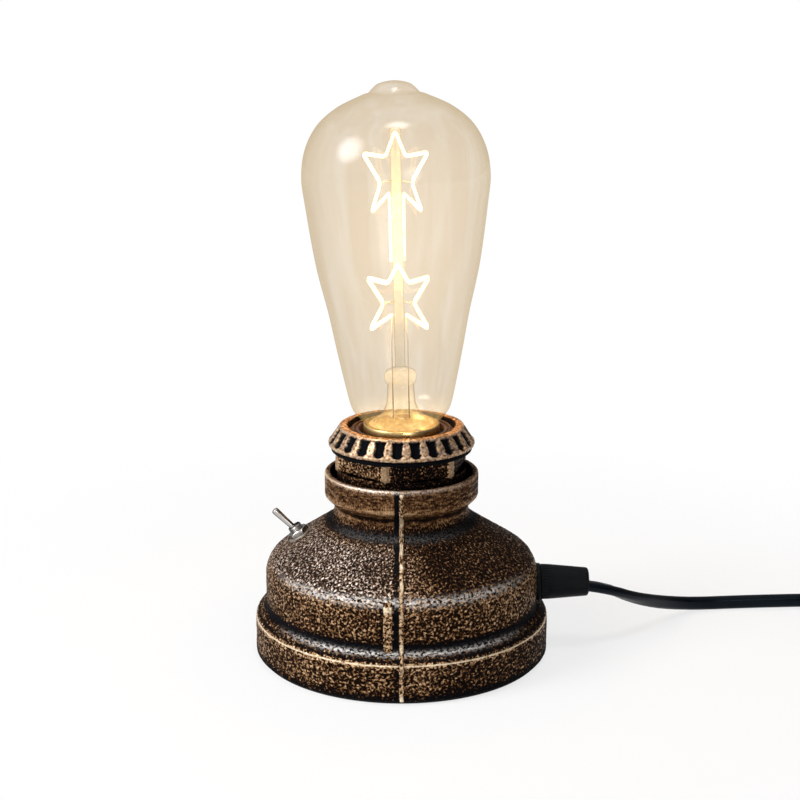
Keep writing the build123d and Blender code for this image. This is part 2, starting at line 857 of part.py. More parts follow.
coil_wire = coil_path.wires()[0]
run_wire = run_path.wires()[0]
spots = 1500
line = [coil_wire.position_at(i / spots) for i in range(spots + 1)]
step = coil_wire.length / spots
skip = int(math.ceil(3 * cord_r * math.pi / step))
least = min(
    (line[i] - line[j]).length for i in range(0, spots, 3) for j in range(i + skip, spots + 1)
)
print("cord length", round(run_wire.length + coil_wire.length, 1), "coil", round(coil_wire.length, 1))
print("least gap of the coil to itself", round(least - 2 * cord_r, 2))
section = math.pi * cord_r**2
print("run volume / section x length", round(cord_run.part.volume / (section * run_wire.length), 4))
print("coil volume / section x length", round(cord_coil.part.volume / (section * coil_wire.length), 4))

tie_mid = coil_x + coil_outer_r - coil_pitch * (coil_halves - 1) / 4 - 0.4
tie_half = coil_pitch * (coil_halves - 1) / 4 + cord_r + 1.2
tie_high = coil_z + coil_layer + cord_r + 0.4
tie_low = coil_z - cord_r - 0.4
with BuildPart() as coil_tie:
    with BuildSketch(Plane.XZ.offset(-coil_y + (coil_pitch + tie_w) / 2)):
        with Locations((tie_mid, (tie_high + tie_low) / 2)):
            RectangleRounded(2 * (tie_half + tie_t), tie_high - tie_low + 2 * tie_t, 3.0)
            RectangleRounded(2 * tie_half, tie_high - tie_low, 3.0 - tie_t, mode=Mode.SUBTRACT)
    extrude(amount=-tie_w)
finish(coil_tie, "coil_tie")


def plug_section(back):
    """The plane across the plug, the given way behind its cord end."""
    return Plane(origin=coil_end - Vector(0, back, 0), x_dir=(1, 0, 0), z_dir=(0, -1, 0))


with BuildPart() as plug_body:
    with BuildSketch(plug_section(0)):
        Circle(4.0)
    with BuildSketch(plug_section(8)):
        Circle(5.0)
    loft()
    with BuildSketch(plug_section(8)):
        RectangleRounded(14, 12, 4)
    with BuildSketch(plug_section(16)):
        RectangleRounded(plug_w, plug_h, 4)
    loft()
    with BuildSketch(plug_section(16)):
        RectangleRounded(plug_w, plug_h, 4)
    extrude(amount=plug_len - 16)
finish(plug_body, "plug_body")

with BuildPart() as plug_blades:
    with BuildSketch(plug_section(plug_len)):
        with Locations((blade_gap / 2, 0), (-blade_gap / 2, 0)):
            Rectangle(blade[0], blade[1])
    extrude(amount=blade[2])
    with BuildSketch(Plane.YZ.offset(coil_end.X)):
        with Locations((coil_end.Y - plug_len - blade[2] + 4.5, coil_end.Z)):
            Circle(1.6)
    extrude(amount=plug_w, both=True, mode=Mode.SUBTRACT)
finish(plug_blades, "plug_blades")


def lug_end(side):
    """The free end of a switch lug."""
    return switch_plane.from_local_coords((side * lug_x, 0, -switch_wall - switch_box[2] - lug_len))


back = Vector(switch_plane.z_dir) * -7
live_points = [
    (cord_points[0][0], -lead_gap, gland_z),
    (31.0, -lead_gap, gland_z),
    (16.0, -12.0, 16.0),
    (-6.0, -12.0, 12.0),
    tuple(lug_end(1) + back),
    tuple(lug_end(1)),
]
switched_points = [
    tuple(lug_end(-1)),
    tuple(lug_end(-1) + back),
    (-6.0, 0.0, 16.5),
    (-nipple_bore_r + lead_r + 0.35, 0.0, 27.0),
    (-nipple_bore_r + lead_r + 0.35, 0.0, holder_floor_z + 1.5),
    (-terminal_head_r - lead_r - fit, -5.0, holder_floor_z + 1.5),
    (-terminal_head_r - lead_r - fit, -terminal_y - 1.0, holder_floor_z + 1.5),
]
neutral_points = [
    (cord_points[0][0], lead_gap, gland_z),
    (28.0, lead_gap, gland_z),
    (9.0, 1.5, 16.5),
    (nipple_bore_r - lead_r - 0.35, 0.0, 27.0),
    (nipple_bore_r - lead_r - 0.35, 0.0, holder_floor_z + 1.5),
    (terminal_head_r + lead_r + fit, 5.0, holder_floor_z + 1.5),
    (terminal_head_r + lead_r + fit, terminal_y + 1.0, holder_floor_z + 1.5),
]

with BuildPart() as live_lead:
    with BuildLine():
        FilletPolyline(*live_points, radius=bend_radii(live_points, 0.4))
    with BuildSketch(start_plane(live_points)):
        Circle(lead_r)
    sweep()
finish(live_lead, "live_lead")

with BuildPart() as switched_lead:
    with BuildLine():
        FilletPolyline(*switched_points, radius=bend_radii(switched_points, 0.4))
    with BuildSketch(start_plane(switched_points)):
        Circle(lead_r)
    sweep()
finish(switched_lead, "switched_lead")

with BuildPart() as neutral_lead:
    with BuildLine():
        FilletPolyline(*neutral_points, radius=bend_radii(neutral_points, 0.4))
    with BuildSketch(start_plane(neutral_points)):
        Circle(lead_r)
    sweep()
finish(neutral_lead, "neutral_lead")
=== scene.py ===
"""Looks of a low table lamp: a rough cast base, a notched screw ring and a glowing star-filament bulb.

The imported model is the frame.  Every sub-assembly below is a class that builds its pieces, dresses them
with a procedural finish and hands them to the body that carries them.  Lengths are in metres, +Z is up,
the switch is on -X and the cord leaves on +X.
"""

import logging
import math
from dataclasses import dataclass, field
from enum import Enum
from typing import Callable, Iterable, Sequence

import bmesh
import bpy
from mathutils import Matrix, Vector, noise

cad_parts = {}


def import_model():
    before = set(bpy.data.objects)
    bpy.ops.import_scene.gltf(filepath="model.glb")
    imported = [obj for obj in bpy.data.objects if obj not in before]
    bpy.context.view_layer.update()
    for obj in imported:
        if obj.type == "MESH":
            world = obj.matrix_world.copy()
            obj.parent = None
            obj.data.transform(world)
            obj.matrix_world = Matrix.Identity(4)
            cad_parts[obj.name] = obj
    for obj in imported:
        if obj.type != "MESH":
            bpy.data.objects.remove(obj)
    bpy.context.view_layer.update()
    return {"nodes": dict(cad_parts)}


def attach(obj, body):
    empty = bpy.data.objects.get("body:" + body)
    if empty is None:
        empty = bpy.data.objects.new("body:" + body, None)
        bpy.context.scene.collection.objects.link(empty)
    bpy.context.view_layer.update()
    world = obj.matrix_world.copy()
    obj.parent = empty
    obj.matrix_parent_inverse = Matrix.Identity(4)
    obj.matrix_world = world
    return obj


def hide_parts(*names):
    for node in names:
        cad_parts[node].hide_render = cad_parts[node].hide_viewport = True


logging.basicConfig(level=logging.INFO, format="%(name)s: %(message)s")
LOG = logging.getLogger("lamp")

MM = 0.001
Point2 = tuple[float, float]
Point3 = tuple[float, float, float]
Socket = bpy.types.NodeSocket
Value = float | tuple[float, ...] | Socket


class Body(str, Enum):
    """The moving groups that new pieces ride on."""

    BASE = "base"
    BULB = "bulb"
    LEVER = "lever"


class Slot(str, Enum):
    """The record's material slots, passed along with new pieces and not used."""

    CAST = "cast_bronze"
    PHENOLIC = "phenolic"
    BRASS = "brass"
    CAP = "cap_brass"
    GLASS = "clear_glass"
    WIRE = "wire"
    FILAMENT = "filament"
    CHROME = "chrome"
    PLASTIC = "black_plastic"
    PVC = "black_pvc"


def smooth(low: float, high: float, x: float) -> float:
    """Smooth step.

    Args:
        low: where the step starts.
        high: where the step ends.
        x: the place that is asked for.

    Returns:
        0 before low, 1 after high, and a smooth rise between them.
    """
    t = min(1.0, max(0.0, (x - low) / (high - low)))
    return t * t * (3 - 2 * t)


def rounded(corners: Sequence[Point2], radii: Sequence[float], step: float) -> list[Point2]:
    """Samples an outline whose corners are rounded.

    Args:
        corners: the outline's corners, in millimetres.
        radii: the radius at each corner, 0 for a sharp one.
        step: the largest distance between two samples.

    Returns:
        Points along the outline, in millimetres.
    """
    path: list[Vector] = []
    last = len(corners) - 1
    for i, (corner, radius) in enumerate(zip(corners, radii)):
        p = Vector(corner)
        if not radius or i in (0, last):
            path.append(p)
            continue
        a = (Vector(corners[i - 1]) - p).normalized()
        b = (Vector(corners[i + 1]) - p).normalized()
        half = a.angle(b) / 2
        centre = p + (a + b).normalized() * (radius / math.sin(half))
        start = p + a * (radius / math.tan(half)) - centre
        end = p + b * (radius / math.tan(half)) - centre
        count = max(3, int(math.ceil(radius * (math.pi - 2 * half) / step)))
        turn = start.angle_signed(end)
        for k in range(count + 1):
            path.append(centre + Matrix.Rotation(-turn * k / count, 2) @ start)
    samples: list[Point2] = []
    for a, b in zip(path, path[1:]):
        count = max(1, int(math.ceil((b - a).length / step)))
        samples += [tuple(a.lerp(b, k / count)) for k in range(count)]
    return samples + [tuple(path[-1])]


class Mesh:
    """A bmesh that becomes one finished piece."""

    def __init__(self, name: str) -> None:
        """Starts an empty piece.

        Args:
            name: the piece's name.
        """
        self.name = name
        self.bm = bmesh.new()
        self.run = self.bm.verts.layers.float.new("run")

    def spin(self, profile: Sequence[Point2], steps: int, turn: float = 0.0) -> list[bmesh.types.BMVert]:
        """Turns a profile about the Z axis.

        Args:
            profile: radius and height of each point, in millimetres.
            steps: columns round the axis.
            turn: where the first column stands, in radians.

        Returns:
            The new vertices.
        """
        before = len(self.bm.verts)
        ring = [
            self.bm.verts.new((r * MM * math.cos(turn), r * MM * math.sin(turn), z * MM)) for r, z in profile
        ]
        for a, b in zip(ring, ring[1:]):
            b[self.run] = a[self.run] + (b.co - a.co).length / MM
        edges = [self.bm.edges.new(pair) for pair in zip(ring, ring[1:])]
        bmesh.ops.spin(
            self.bm,
            geom=ring + edges,
            cent=(0, 0, 0),
            axis=(0, 0, 1),
            angle=2 * math.pi,
            steps=steps,
            use_merge=True,
        )
        self.bm.verts.ensure_lookup_table()
        fresh = self.bm.verts[before:]
        bmesh.ops.remove_doubles(self.bm, verts=fresh, dist=1e-6)
        loose = [e for e in self.bm.edges if not e.link_faces]
        bmesh.ops.delete(self.bm, geom=loose, context="EDGES")
        self.bm.verts.ensure_lookup_table()
        return list(self.bm.verts[before:])

    def outward(self) -> None:
        """Makes the normals of a turned skin point away from the axis."""
        bmesh.ops.recalc_face_normals(self.bm, faces=self.bm.faces)
        self.bm.normal_update()
        probe = max(self.bm.faces, key=lambda f: f.calc_center_median().x)
        if probe.normal.x < 0:
            bmesh.ops.reverse_faces(self.bm, faces=self.bm.faces)
            self.bm.normal_update()

    def wrap(self, radius: float) -> None:
        """Gives the skin a UV of millimetres round the axis and along the profile, seamed at the back.

        Args:
            radius: where the turn is measured, in millimetres.
        """
        layer = self.bm.loops.layers.uv.new("UVMap")
        run = self.bm.verts.layers.float["run"]
        for face in self.bm.faces:
            middle = face.calc_center_median()
            here = math.atan2(middle.x, -middle.y)
            for loop in face.loops:
                turn = math.atan2(loop.vert.co.x, -loop.vert.co.y)
                turn += 2 * math.pi * round((here - turn) / (2 * math.pi))
                loop[layer].uv = (turn * radius, loop.vert[run])

    def along(self, line: Sequence[bmesh.types.BMVert], closed: bool) -> list[bmesh.types.BMEdge]:
        """Finds the edges along a line of vertices.

        Args:
            line: the vertices, in order.
            closed: whether the last one joins the first.

        Returns:
            The edges, in order.
        """
        pairs = list(zip(line, line[1:]))
        if closed:
            pairs.append((line[-1], line[0]))
        return [self.bm.edges.get(pair) for pair in pairs]

    def chain(self, places: Sequence[Vector], closed: bool = False) -> list[bmesh.types.BMVert]:
        """Starts a skin with a line of edges.

        Args:
            places: where the vertices stand.
            closed: whether the last one joins the first.

        Returns:
            The vertices, in order.
        """
        line = [self.bm.verts.new(p) for p in places]
        for pair in zip(line, line[1:] + line[:1] if closed else line[1:]):
            self.bm.edges.new(pair)
        return line

    def lengthen(
        self, line: Sequence[bmesh.types.BMVert], places: Sequence[Vector], closed: bool = False
    ) -> list[bmesh.types.BMVert]:
        """Extrudes the last line of a skin and sets it down at new places.

        Args:
            line: the vertices along the skin's open side.
            places: where each new vertex goes.
            closed: whether the line is a ring.

        Returns:
            The new line, in the same order.
        """
        made = bmesh.ops.extrude_edge_only(self.bm, edges=self.along(line, closed))["geom"]
        fresh = {g for g in made if isinstance(g, bmesh.types.BMVert)}
        far = [next(o for o in (e.other_vert(v) for e in v.link_edges) if o in fresh) for v in line]
        for v, place in zip(far, places):
            v.co = place
        return far

    def tube(self, path: Sequence[Vector], section: Callable[[int], Sequence[Vector]]) -> None:
        """Extrudes a ring along a path and closes its ends.

        Args:
            path: the points of the centre line.
            section: gives the section's points round the path point of that number.
        """
        first = line = self.chain(section(0), closed=True)
        for i in range(1, len(path)):
            line = self.lengthen(line, section(i), closed=True)
        ends = self.along(first, closed=True) + self.along(line, closed=True)
        bmesh.ops.holes_fill(self.bm, edges=ends, sides=0)

    def join(self, other: "Mesh") -> None:
        """Takes over another mesh, with its marks.

        Args:
            other: the mesh, which is used up.
        """
        spare = bpy.data.meshes.new(other.name)
        other.bm.to_mesh(spare)
        other.bm.free()
        self.bm.from_mesh(spare)
        bpy.data.meshes.remove(spare)

    def finish(self, outward: bool = True, flat: float | None = None) -> bpy.types.Object:
        """Makes the object.

        Args:
            outward: whether normals are made to point out.
            flat: the angle in degrees past which an edge stays sharp, or None for a smooth piece.

        Returns:
            The new object, at the origin.
        """
        if outward:
            bmesh.ops.recalc_face_normals(self.bm, faces=self.bm.faces)
        for face in self.bm.faces:
            face.smooth = True
        if flat is not None:
            limit = math.radians(flat)
            for edge in self.bm.edges:
                edge.smooth = len(edge.link_faces) == 2 and edge.calc_face_angle(0.0) < limit
        mesh = bpy.data.meshes.new(self.name)
        self.bm.to_mesh(mesh)
        self.bm.free()
        obj = bpy.data.objects.new(self.name, mesh)
        bpy.context.scene.collection.objects.link(obj)
        return obj


class Graph:
    """A small helper that writes a material's nodes."""

    def __init__(self, name: str) -> None:
        """Starts a material with a Principled shader.

        Args:
            name: the material's name.
        """
        self.material = bpy.data.materials.new(name)
        self.material.use_nodes = True
        self.tree = self.material.node_tree
        self.tree.nodes.clear()
        self.out = self.tree.nodes.new("ShaderNodeOutputMaterial")
        self.shader = self.tree.nodes.new("ShaderNodeBsdfPrincipled")
        self.link(self.shader.outputs[0], self.out.inputs["Surface"])

    def node(self, kind: str, **settings: str) -> bpy.types.Node:
        """Adds a node.

        Args:
            kind: the node's type.
            settings: attributes to set on it.

        Returns:
            The new node.
        """
        made = self.tree.nodes.new(kind)
        for key, value in settings.items():
            setattr(made, key, value)
        return made

    def link(self, a: Socket, b: Socket) -> None:
        """Joins an output to an input."""
        self.tree.links.new(a, b)

    def feed(self, socket: Socket, value: Value) -> None:
        """Sets a socket to a value, or links an output to it."""
        if isinstance(value, Socket):
            self.link(value, socket)
        else:
            socket.default_value = value

    def set(self, **values: Value) -> None:
        """Feeds the Principled shader's sockets, named with underscores for spaces."""
        for key, value in values.items():
            self.feed(self.shader.inputs[key.replace("_", " ")], value)

    def place(self, scale: Point3 = (1.0, 1.0, 1.0)) -> Socket:
        """Object coordinates, stretched.

        Args:
            scale: the stretch along each axis.

        Returns:
            The coordinate output.
        """
        coord = self.node("ShaderNodeTexCoord")
        mapping = self.node("ShaderNodeMapping")
        mapping.inputs["Scale"].default_value = scale
        self.link(coord.outputs["Object"], mapping.inputs["Vector"])
        return mapping.outputs[0]

    def wrapped(self, scale: Point3) -> Socket:
        """The mesh's own UV in millimetres, stretched.

        Args:
            scale: the stretch along each axis.

        Returns:
            The coordinate output, as small as Object coordinates.
        """
        made = self.node("ShaderNodeUVMap", uv_map="UVMap")
        mapping = self.node("ShaderNodeMapping")
        mapping.inputs["Scale"].default_value = tuple(c * MM for c in scale)
        self.link(made.outputs[0], mapping.inputs["Vector"])
        return mapping.outputs[0]

    def noise(
        self,
        size: float,
        detail: float = 3.0,
        rough: float = 0.55,
        warp: float = 0.0,
        vector: Socket | None = None,
    ) -> Socket:
        """A noise field.

        Args:
            size: the grain, in millimetres.
            detail: octaves.
            rough: how strong the fine octaves are.
            warp: distortion.
            vector: coordinates, or None for Object coordinates.

        Returns:
            A value around 0.5.
        """
        tex = self.node("ShaderNodeTexNoise")
        tex.inputs["Scale"].default_value = 1000.0 / size
        tex.inputs["Detail"].default_value = detail
        tex.inputs["Roughness"].default_value = rough
        tex.inputs["Distortion"].default_value = warp
        self.link(vector or self.place(), tex.inputs["Vector"])
        return tex.outputs["Fac"]

    def pebbles(self, size: float, stray: float, place: Socket) -> Socket:
        """A field of rounded grains that lie close together.

        Args:
            size: the distance between grains, in millimetres.
            stray: how far their edges wander, in millimetres.
            place: the coordinates.

        Returns:
            1 on top of a grain and 0 in the gaps.
        """
        wander = self.node("ShaderNodeTexNoise")
        wander.inputs["Scale"].default_value = 1000.0 / (1.3 * size)
        wander.inputs["Detail"].default_value = 1.0
        self.link(place, wander.inputs["Vector"])
        shift = self.node("ShaderNodeVectorMath", operation="MULTIPLY_ADD")
        self.link(wander.outputs["Color"], shift.inputs[0])
        shift.inputs[1].default_value = (stray * MM,) * 3
        self.link(place, shift.inputs[2])
        cells = self.node("ShaderNodeTexVoronoi", feature="SMOOTH_F1")
        cells.inputs["Scale"].default_value = 1000.0 / size
        cells.inputs["Smoothness"].default_value = 0.3
        cells.inputs["Randomness"].default_value = 0.9
        self.link(shift.outputs["Vector"], cells.inputs["Vector"])
        return self.ramp(cells.outputs["Distance"], 0.10, 0.62, 1.0, 0.0)

    def math(self, operation: str, a: Value, b: Value = 0.0) -> Socket:
        """A math node.

        Args:
            operation: its operation.
            a: the first value or output.
            b: the second value or output.

        Returns:
            The result.
        """
        made = self.node("ShaderNodeMath", operation=operation)
        self.feed(made.inputs[0], a)
        self.feed(made.inputs[1], b)
        return made.outputs[0]

    def ramp(self, value: Value, low: float, high: float, start: float = 0.0, end: float = 1.0) -> Socket:
        """A smooth step of a value.

        Args:
            value: what is read.
            low: where the step starts.
            high: where the step ends.
            start: the result before it.
            end: the result after it.

        Returns:
            The result.
        """
        made = self.node("ShaderNodeMapRange", interpolation_type="SMOOTHSTEP")
        self.feed(made.inputs["Value"], value)
        for key, number in (("From Min", low), ("From Max", high), ("To Min", start), ("To Max", end)):
            made.inputs[key].default_value = number
        return made.outputs[0]

    def mix(self, factor: Value, a: Value, b: Value) -> Socket:
        """Mixes two colours.

        Args:
            factor: the share of the second.
            a: a colour or output.
            b: a colour or output.

        Returns:
            The colour.
        """
        made = self.node("ShaderNodeMix", data_type="RGBA")
        self.feed(made.inputs[0], factor)
        self.feed(made.inputs[6], (*a, 1.0) if isinstance(a, tuple) else a)
        self.feed(made.inputs[7], (*b, 1.0) if isinstance(b, tuple) else b)
        return made.outputs[2]

    def attribute(self, name: str) -> Socket:
        """A float that the mesh carries."""
        made = self.node("ShaderNodeAttribute", attribute_name=name)
        return made.outputs["Fac"]

    def bump(self, height: Value, depth: float, strength: float = 1.0) -> None:
        """Bumps the surface.

        Args:
            height: the height field.
            depth: the height of 1, in millimetres.
            strength: how much of it shows.
        """
        made = self.node("ShaderNodeBump")
        made.inputs["Strength"].default_value = strength
        made.inputs["Distance"].default_value = depth * MM
        self.feed(made.inputs["Height"], height)
        self.link(made.outputs[0], self.shader.inputs["Normal"])
        self.link(made.outputs[0], self.shader.inputs["Coat Normal"])


@dataclass(frozen=True)
class CastBronze:
    """Pebbled casting: near black gaps, bronze dry-brushed on the grains, painted white glints in the coves.
    """

    dark: Point3 = (0.0060, 0.0024, 0.0010)
    # Bluish black in the hollows: a painted reflection.
    painted_blue_reflection: Point3 = (0.0030, 0.0036, 0.0052)
    brown: Point3 = (0.085, 0.038, 0.015)
    bronze: Point3 = (0.29, 0.163, 0.078)
    pale: Point3 = (0.62, 0.42, 0.25)
    # Lighter tones where the sheen mark lies: a painted highlight.
    sheen_bronze: Point3 = (0.33, 0.25, 0.20)
    sheen_pale: Point3 = (0.92, 0.80, 0.70)
    worn: Point3 = (0.85, 0.70, 0.50)
    # White of the painted glints.
    glint_colour: Point3 = (0.86, 0.83, 0.80)
    cover: float = 0.0
    grain: float = 1.1
    relief: float = 0.44

    def material(self, name: str) -> bpy.types.Material:
        """Writes the nodes.

        Args:
            name: the material's name.

        Returns:
            The material.
        """
        g = Graph(name)
        marks = ("edge", "hollow_and_shade", "streak", "painted_glint", "painted_sheen")
        edge, hollow_and_shade, streak, painted_glint, painted_sheen = (g.attribute(n) for n in marks)
        skin = g.wrapped((1.0, 1.0, 1.0))
        cells = g.pebbles(self.grain, 0.9, skin)
        worms = g.ramp(g.noise(0.75 * self.grain, 1.0, 0.5, 0.6, skin), 0.28, 0.72)
        cast = g.math("ADD", g.math("MULTIPLY", cells, 0.32), g.math("MULTIPLY", worms, 0.70))
        brush = g.ramp(g.noise(0.9, 3.0, 0.6, 0.3, g.wrapped((0.16, 1.0, 1.0))), 0.25, 0.75)
        brush = g.math("ADD", g.math("MULTIPLY", brush, 0.36), g.math("MULTIPLY", cast, 0.16))
        brush = g.math("ADD", brush, 0.30)
        plain = g.math("SUBTRACT", 1.0, streak)
        grain = g.math("ADD", g.math("MULTIPLY", cast, plain), g.math("MULTIPLY", brush, streak))
        height = g.math("ADD", grain, g.math("MULTIPLY", g.noise(0.4, 2.0, 0.6), 0.22))
        level = g.math("ADD", height, g.math("MULTIPLY", g.math("SUBTRACT", g.noise(13.0, 2.0), 0.5), 0.40))
        level = g.math("ADD", level, g.math("MULTIPLY", edge, 0.34))
        level = g.math("ADD", level, g.math("MULTIPLY", painted_sheen, 0.04))
        # Darker in the hollows and on shaded sides: patina in the hollows and painted shade.
        level = g.math("SUBTRACT", level, g.math("MULTIPLY", hollow_and_shade, 0.55))
        level = g.math("ADD", level, self.cover - 0.13)
        wash = g.ramp(level, 0.31, 0.50)
        brushed = g.ramp(level, 0.48, 0.68)
        bright = g.ramp(level, 0.64, 0.92)
        rubbed = g.math("MULTIPLY", g.ramp(edge, 0.78, 0.98), g.ramp(g.noise(2.2, 3.0), 0.24, 0.46))
        drawn = g.ramp(g.noise(0.8, 2.0, 0.55, 0.4, g.wrapped((0.7, 1.0, 1.0))), 0.40, 0.60)
        # Glint spots: painted highlights in the cove and corner bands.
        glint_tops = g.math("MULTIPLY", painted_glint, drawn)
        colour = g.mix(wash, g.mix(hollow_and_shade, self.dark, self.painted_blue_reflection), self.brown)
        colour = g.mix(brushed, colour, g.mix(painted_sheen, self.bronze, self.sheen_bronze))
        colour = g.mix(bright, colour, g.mix(painted_sheen, self.pale, self.sheen_pale))
        colour = g.mix(rubbed, colour, self.worn)
        colour = g.mix(glint_tops, colour, self.glint_colour)
        # Metallic on rubbed wear and on the painted glints.
        bare_and_glint = g.math("MAXIMUM", g.math("MULTIPLY", rubbed, 0.7), g.math("MULTIPLY", glint_tops, 0.8))
        g.set(
            Base_Color=colour,
            Metallic=g.math("MAXIMUM", g.math("MULTIPLY", brushed, 0.6), bare_and_glint),
            Roughness=g.ramp(level, 0.3, 0.8, 0.62, 0.30),
            Specular_IOR_Level=g.math("ADD", g.math("MULTIPLY", painted_sheen, 0.05), 0.02),
        )
        g.bump(height, self.relief, 1.0)
        return g.material


@dataclass(frozen=True)
class Moulded:
    """Moulded plastic or rubber with a fine skin."""

    colour: Point3
    rough: float = 0.45
    grain: float = 0.6
    depth: float = 0.02
    sheen: float = 0.0
    gloss: float = 0.22
    cast: Point3 = (1.0, 1.0, 1.0)

    def material(self, name: str) -> bpy.types.Material:
        """Writes the nodes.

        Args:
            name: the material's name.

        Returns:
            The material.
        """
        g = Graph(name)
        skin = g.noise(self.grain, 3.0)
        cloud = g.noise(9.0, 2.0)
        lighter = tuple(min(1.0, c * 1.5 + 0.001) for c in self.colour)
        g.set(
            Base_Color=g.mix(g.ramp(cloud, 0.35, 0.7, 0.0, 0.6), self.colour, lighter),
            Roughness=g.ramp(cloud, 0.3, 0.7, self.rough - 0.05, self.rough + 0.08),
            Specular_IOR_Level=self.gloss,
            # A coloured specular tint paints a tinted reflection.
            Specular_Tint=(*self.cast, 1.0),
            Sheen_Weight=self.sheen,
        )
        g.bump(skin, self.depth, 0.8)
        return g.material


@dataclass(frozen=True)
class Metal:
    """Plain or plated metal with fine scratches and tarnish; with rim, a painted dark reflection where it is
    seen edge-on.
    """

    colour: Point3
    tarnish_and_edge_shade: Point3
    rough: float = 0.22
    scratch: float = 0.5
    rim: float = 0.0

    def material(self, name: str) -> bpy.types.Material:
        """Writes the nodes.

        Args:
            name: the material's name.

        Returns:
            The material.
        """
        g = Graph(name)
        lines = g.noise(0.5, 2.0, 0.5, vector=g.place((1.0, 1.0, 0.12)))
        cloud = g.noise(4.0, 3.0)
        share = g.ramp(cloud, 0.5, 0.8, 0.0, 0.7)
        # Darker where seen edge-on: a painted dark reflection.
        if self.rim:
            facing = g.node("ShaderNodeLayerWeight")
            facing.inputs["Blend"].default_value = 0.5
            share = g.math("MAXIMUM", share, g.ramp(facing.outputs["Facing"], 0.15, 0.55, 0.0, self.rim))
        g.set(
            Base_Color=g.mix(share, self.colour, self.tarnish_and_edge_shade),
            Metallic=1.0,
            Roughness=g.ramp(cloud, 0.3, 0.75, self.rough, self.rough + 0.14),
        )
        g.bump(lines, 0.006, self.scratch)
        return g.material


@dataclass(frozen=True)
class BlownGlass:
    """Thin blown glass: see-through, lightly amber, mirroring at its edges, with a painted glow from the
    filament.
    """

    tint: Point3 = (0.865, 0.792, 0.697)
    pale: Point3 = (0.889, 0.834, 0.760)
    edge: Point3 = (0.810, 0.722, 0.585)
    gloss: float = 0.03
    painted_glow: float = 0.0
    heart: Point3 = (0.0, 0.0, 0.0)
    reach: float = 40.0
    lit: float = 0.0

    def material(self, name: str) -> bpy.types.Material:
        """Writes the nodes.

        Args:
            name: the material's name.

        Returns:
            The material.
        """
        g = Graph(name)
        g.tree.nodes.remove(g.shader)
        facing = g.node("ShaderNodeLayerWeight")
        facing.inputs["Blend"].default_value = 0.5
        slant = facing.outputs["Facing"]
        clear = g.node("ShaderNodeBsdfTransparent")
        drawn = g.ramp(g.noise(7.0, 2.0, 0.5, 0.0, g.place((1.0, 1.0, 0.07))), 0.42, 0.62)
        lining = g.attribute("lining")
        body = g.mix(drawn, self.tint, self.pale)
        body = g.mix(g.ramp(slant, 0.40, 1.0), body, self.edge)
        g.link(g.mix(lining, body, (0.99, 0.99, 0.98)), clear.inputs["Color"])
        gloss = g.node("ShaderNodeBsdfGlossy")
        gloss.inputs["Roughness"].default_value = self.gloss
        wave = g.node("ShaderNodeBump")
        wave.inputs["Strength"].default_value = 0.12
        wave.inputs["Distance"].default_value = 0.2 * MM
        g.link(g.noise(14.0, 1.0), wave.inputs["Height"])
        g.link(wave.outputs[0], gloss.inputs["Normal"])
        mirror = g.math("ADD", g.math("MULTIPLY", g.math("POWER", slant, 5.0), 0.10), 0.03)
        mirror = g.math("MULTIPLY", mirror, g.math("SUBTRACT", 1.0, lining))
        both = g.node("ShaderNodeMixShader")
        g.feed(both.inputs[0], mirror)
        g.link(clear.outputs[0], both.inputs[1])
        g.link(gloss.outputs[0], both.inputs[2])
        last = both.outputs[0]
        # Painted glow: the glass emits near the filament.
        if self.painted_glow:
            away = g.node("ShaderNodeVectorMath", operation="DISTANCE")
            g.link(g.place(), away.inputs[0])
            away.inputs[1].default_value = [c * MM for c in self.heart]
            near = g.ramp(away.outputs["Value"], 0.4 * self.reach * MM, self.reach * MM, 1.0, 0.0)
            square = g.math("POWER", g.math("SUBTRACT", 1.0, slant), 2.0)
            glow = g.math("MULTIPLY", g.math("MULTIPLY", near, square), self.painted_glow)
            last = self.shine(g, last, glow, (1.0, 0.78, 0.46))
        # Painted glow: the glass emits where the lit mark lies.
        if self.lit:
            swirl = g.ramp(g.noise(3.0, 3.0, 0.6, 1.0), 0.35, 0.65, 0.55, 1.15)
            lit = g.math("MULTIPLY", g.math("MULTIPLY", g.attribute("lit"), swirl), self.lit)
            last = self.shine(g, last, lit, (1.0, 0.70, 0.30))
        g.link(last, g.out.inputs["Surface"])
        return g.material

    @staticmethod
    def shine(g: Graph, shader: Socket, strength: Value, colour: Point3) -> Socket:
        """Adds emission, a painted glow that stands in for light the glass scatters.

        Args:
            g: the material's graph.
            shader: the shader so far.
            strength: how strong it is.
            colour: its colour.

        Returns:
            The shader with the light on it.
        """
        made = g.node("ShaderNodeEmission")
        made.inputs["Color"].default_value = (*colour, 1.0)
        g.feed(made.inputs["Strength"], strength)
        total = g.node("ShaderNodeAddShader")
        g.link(shader, total.inputs[0])
        g.link(made.outputs[0], total.inputs[1])
        return total.outputs[0]


@dataclass(frozen=True)
class Glow:
    """A glowing filament, hotter in the middle of each run."""

    cool: Point3 = (1.0, 0.62, 0.20)
    hot: Point3 = (1.0, 0.78, 0.40)
    power: float = 7.0

    def material(self, name: str) -> bpy.types.Material:
        """Writes the nodes.

        Args:
            name: the material's name.

        Returns:
            The material.
        """
        g = Graph(name)
        turns = g.noise(1.2, 2.0)
        heat = g.noise(9.0, 1.0)
        g.set(
            Base_Color=(0.20, 0.08, 0.02, 1.0),
            Emission_Color=g.mix(g.ramp(heat, 0.35, 0.65), self.cool, self.hot),
            Emission_Strength=g.ramp(turns, 0.3, 0.7, 0.75 * self.power, 1.25 * self.power),
            Roughness=0.5,
        )
        return g.material


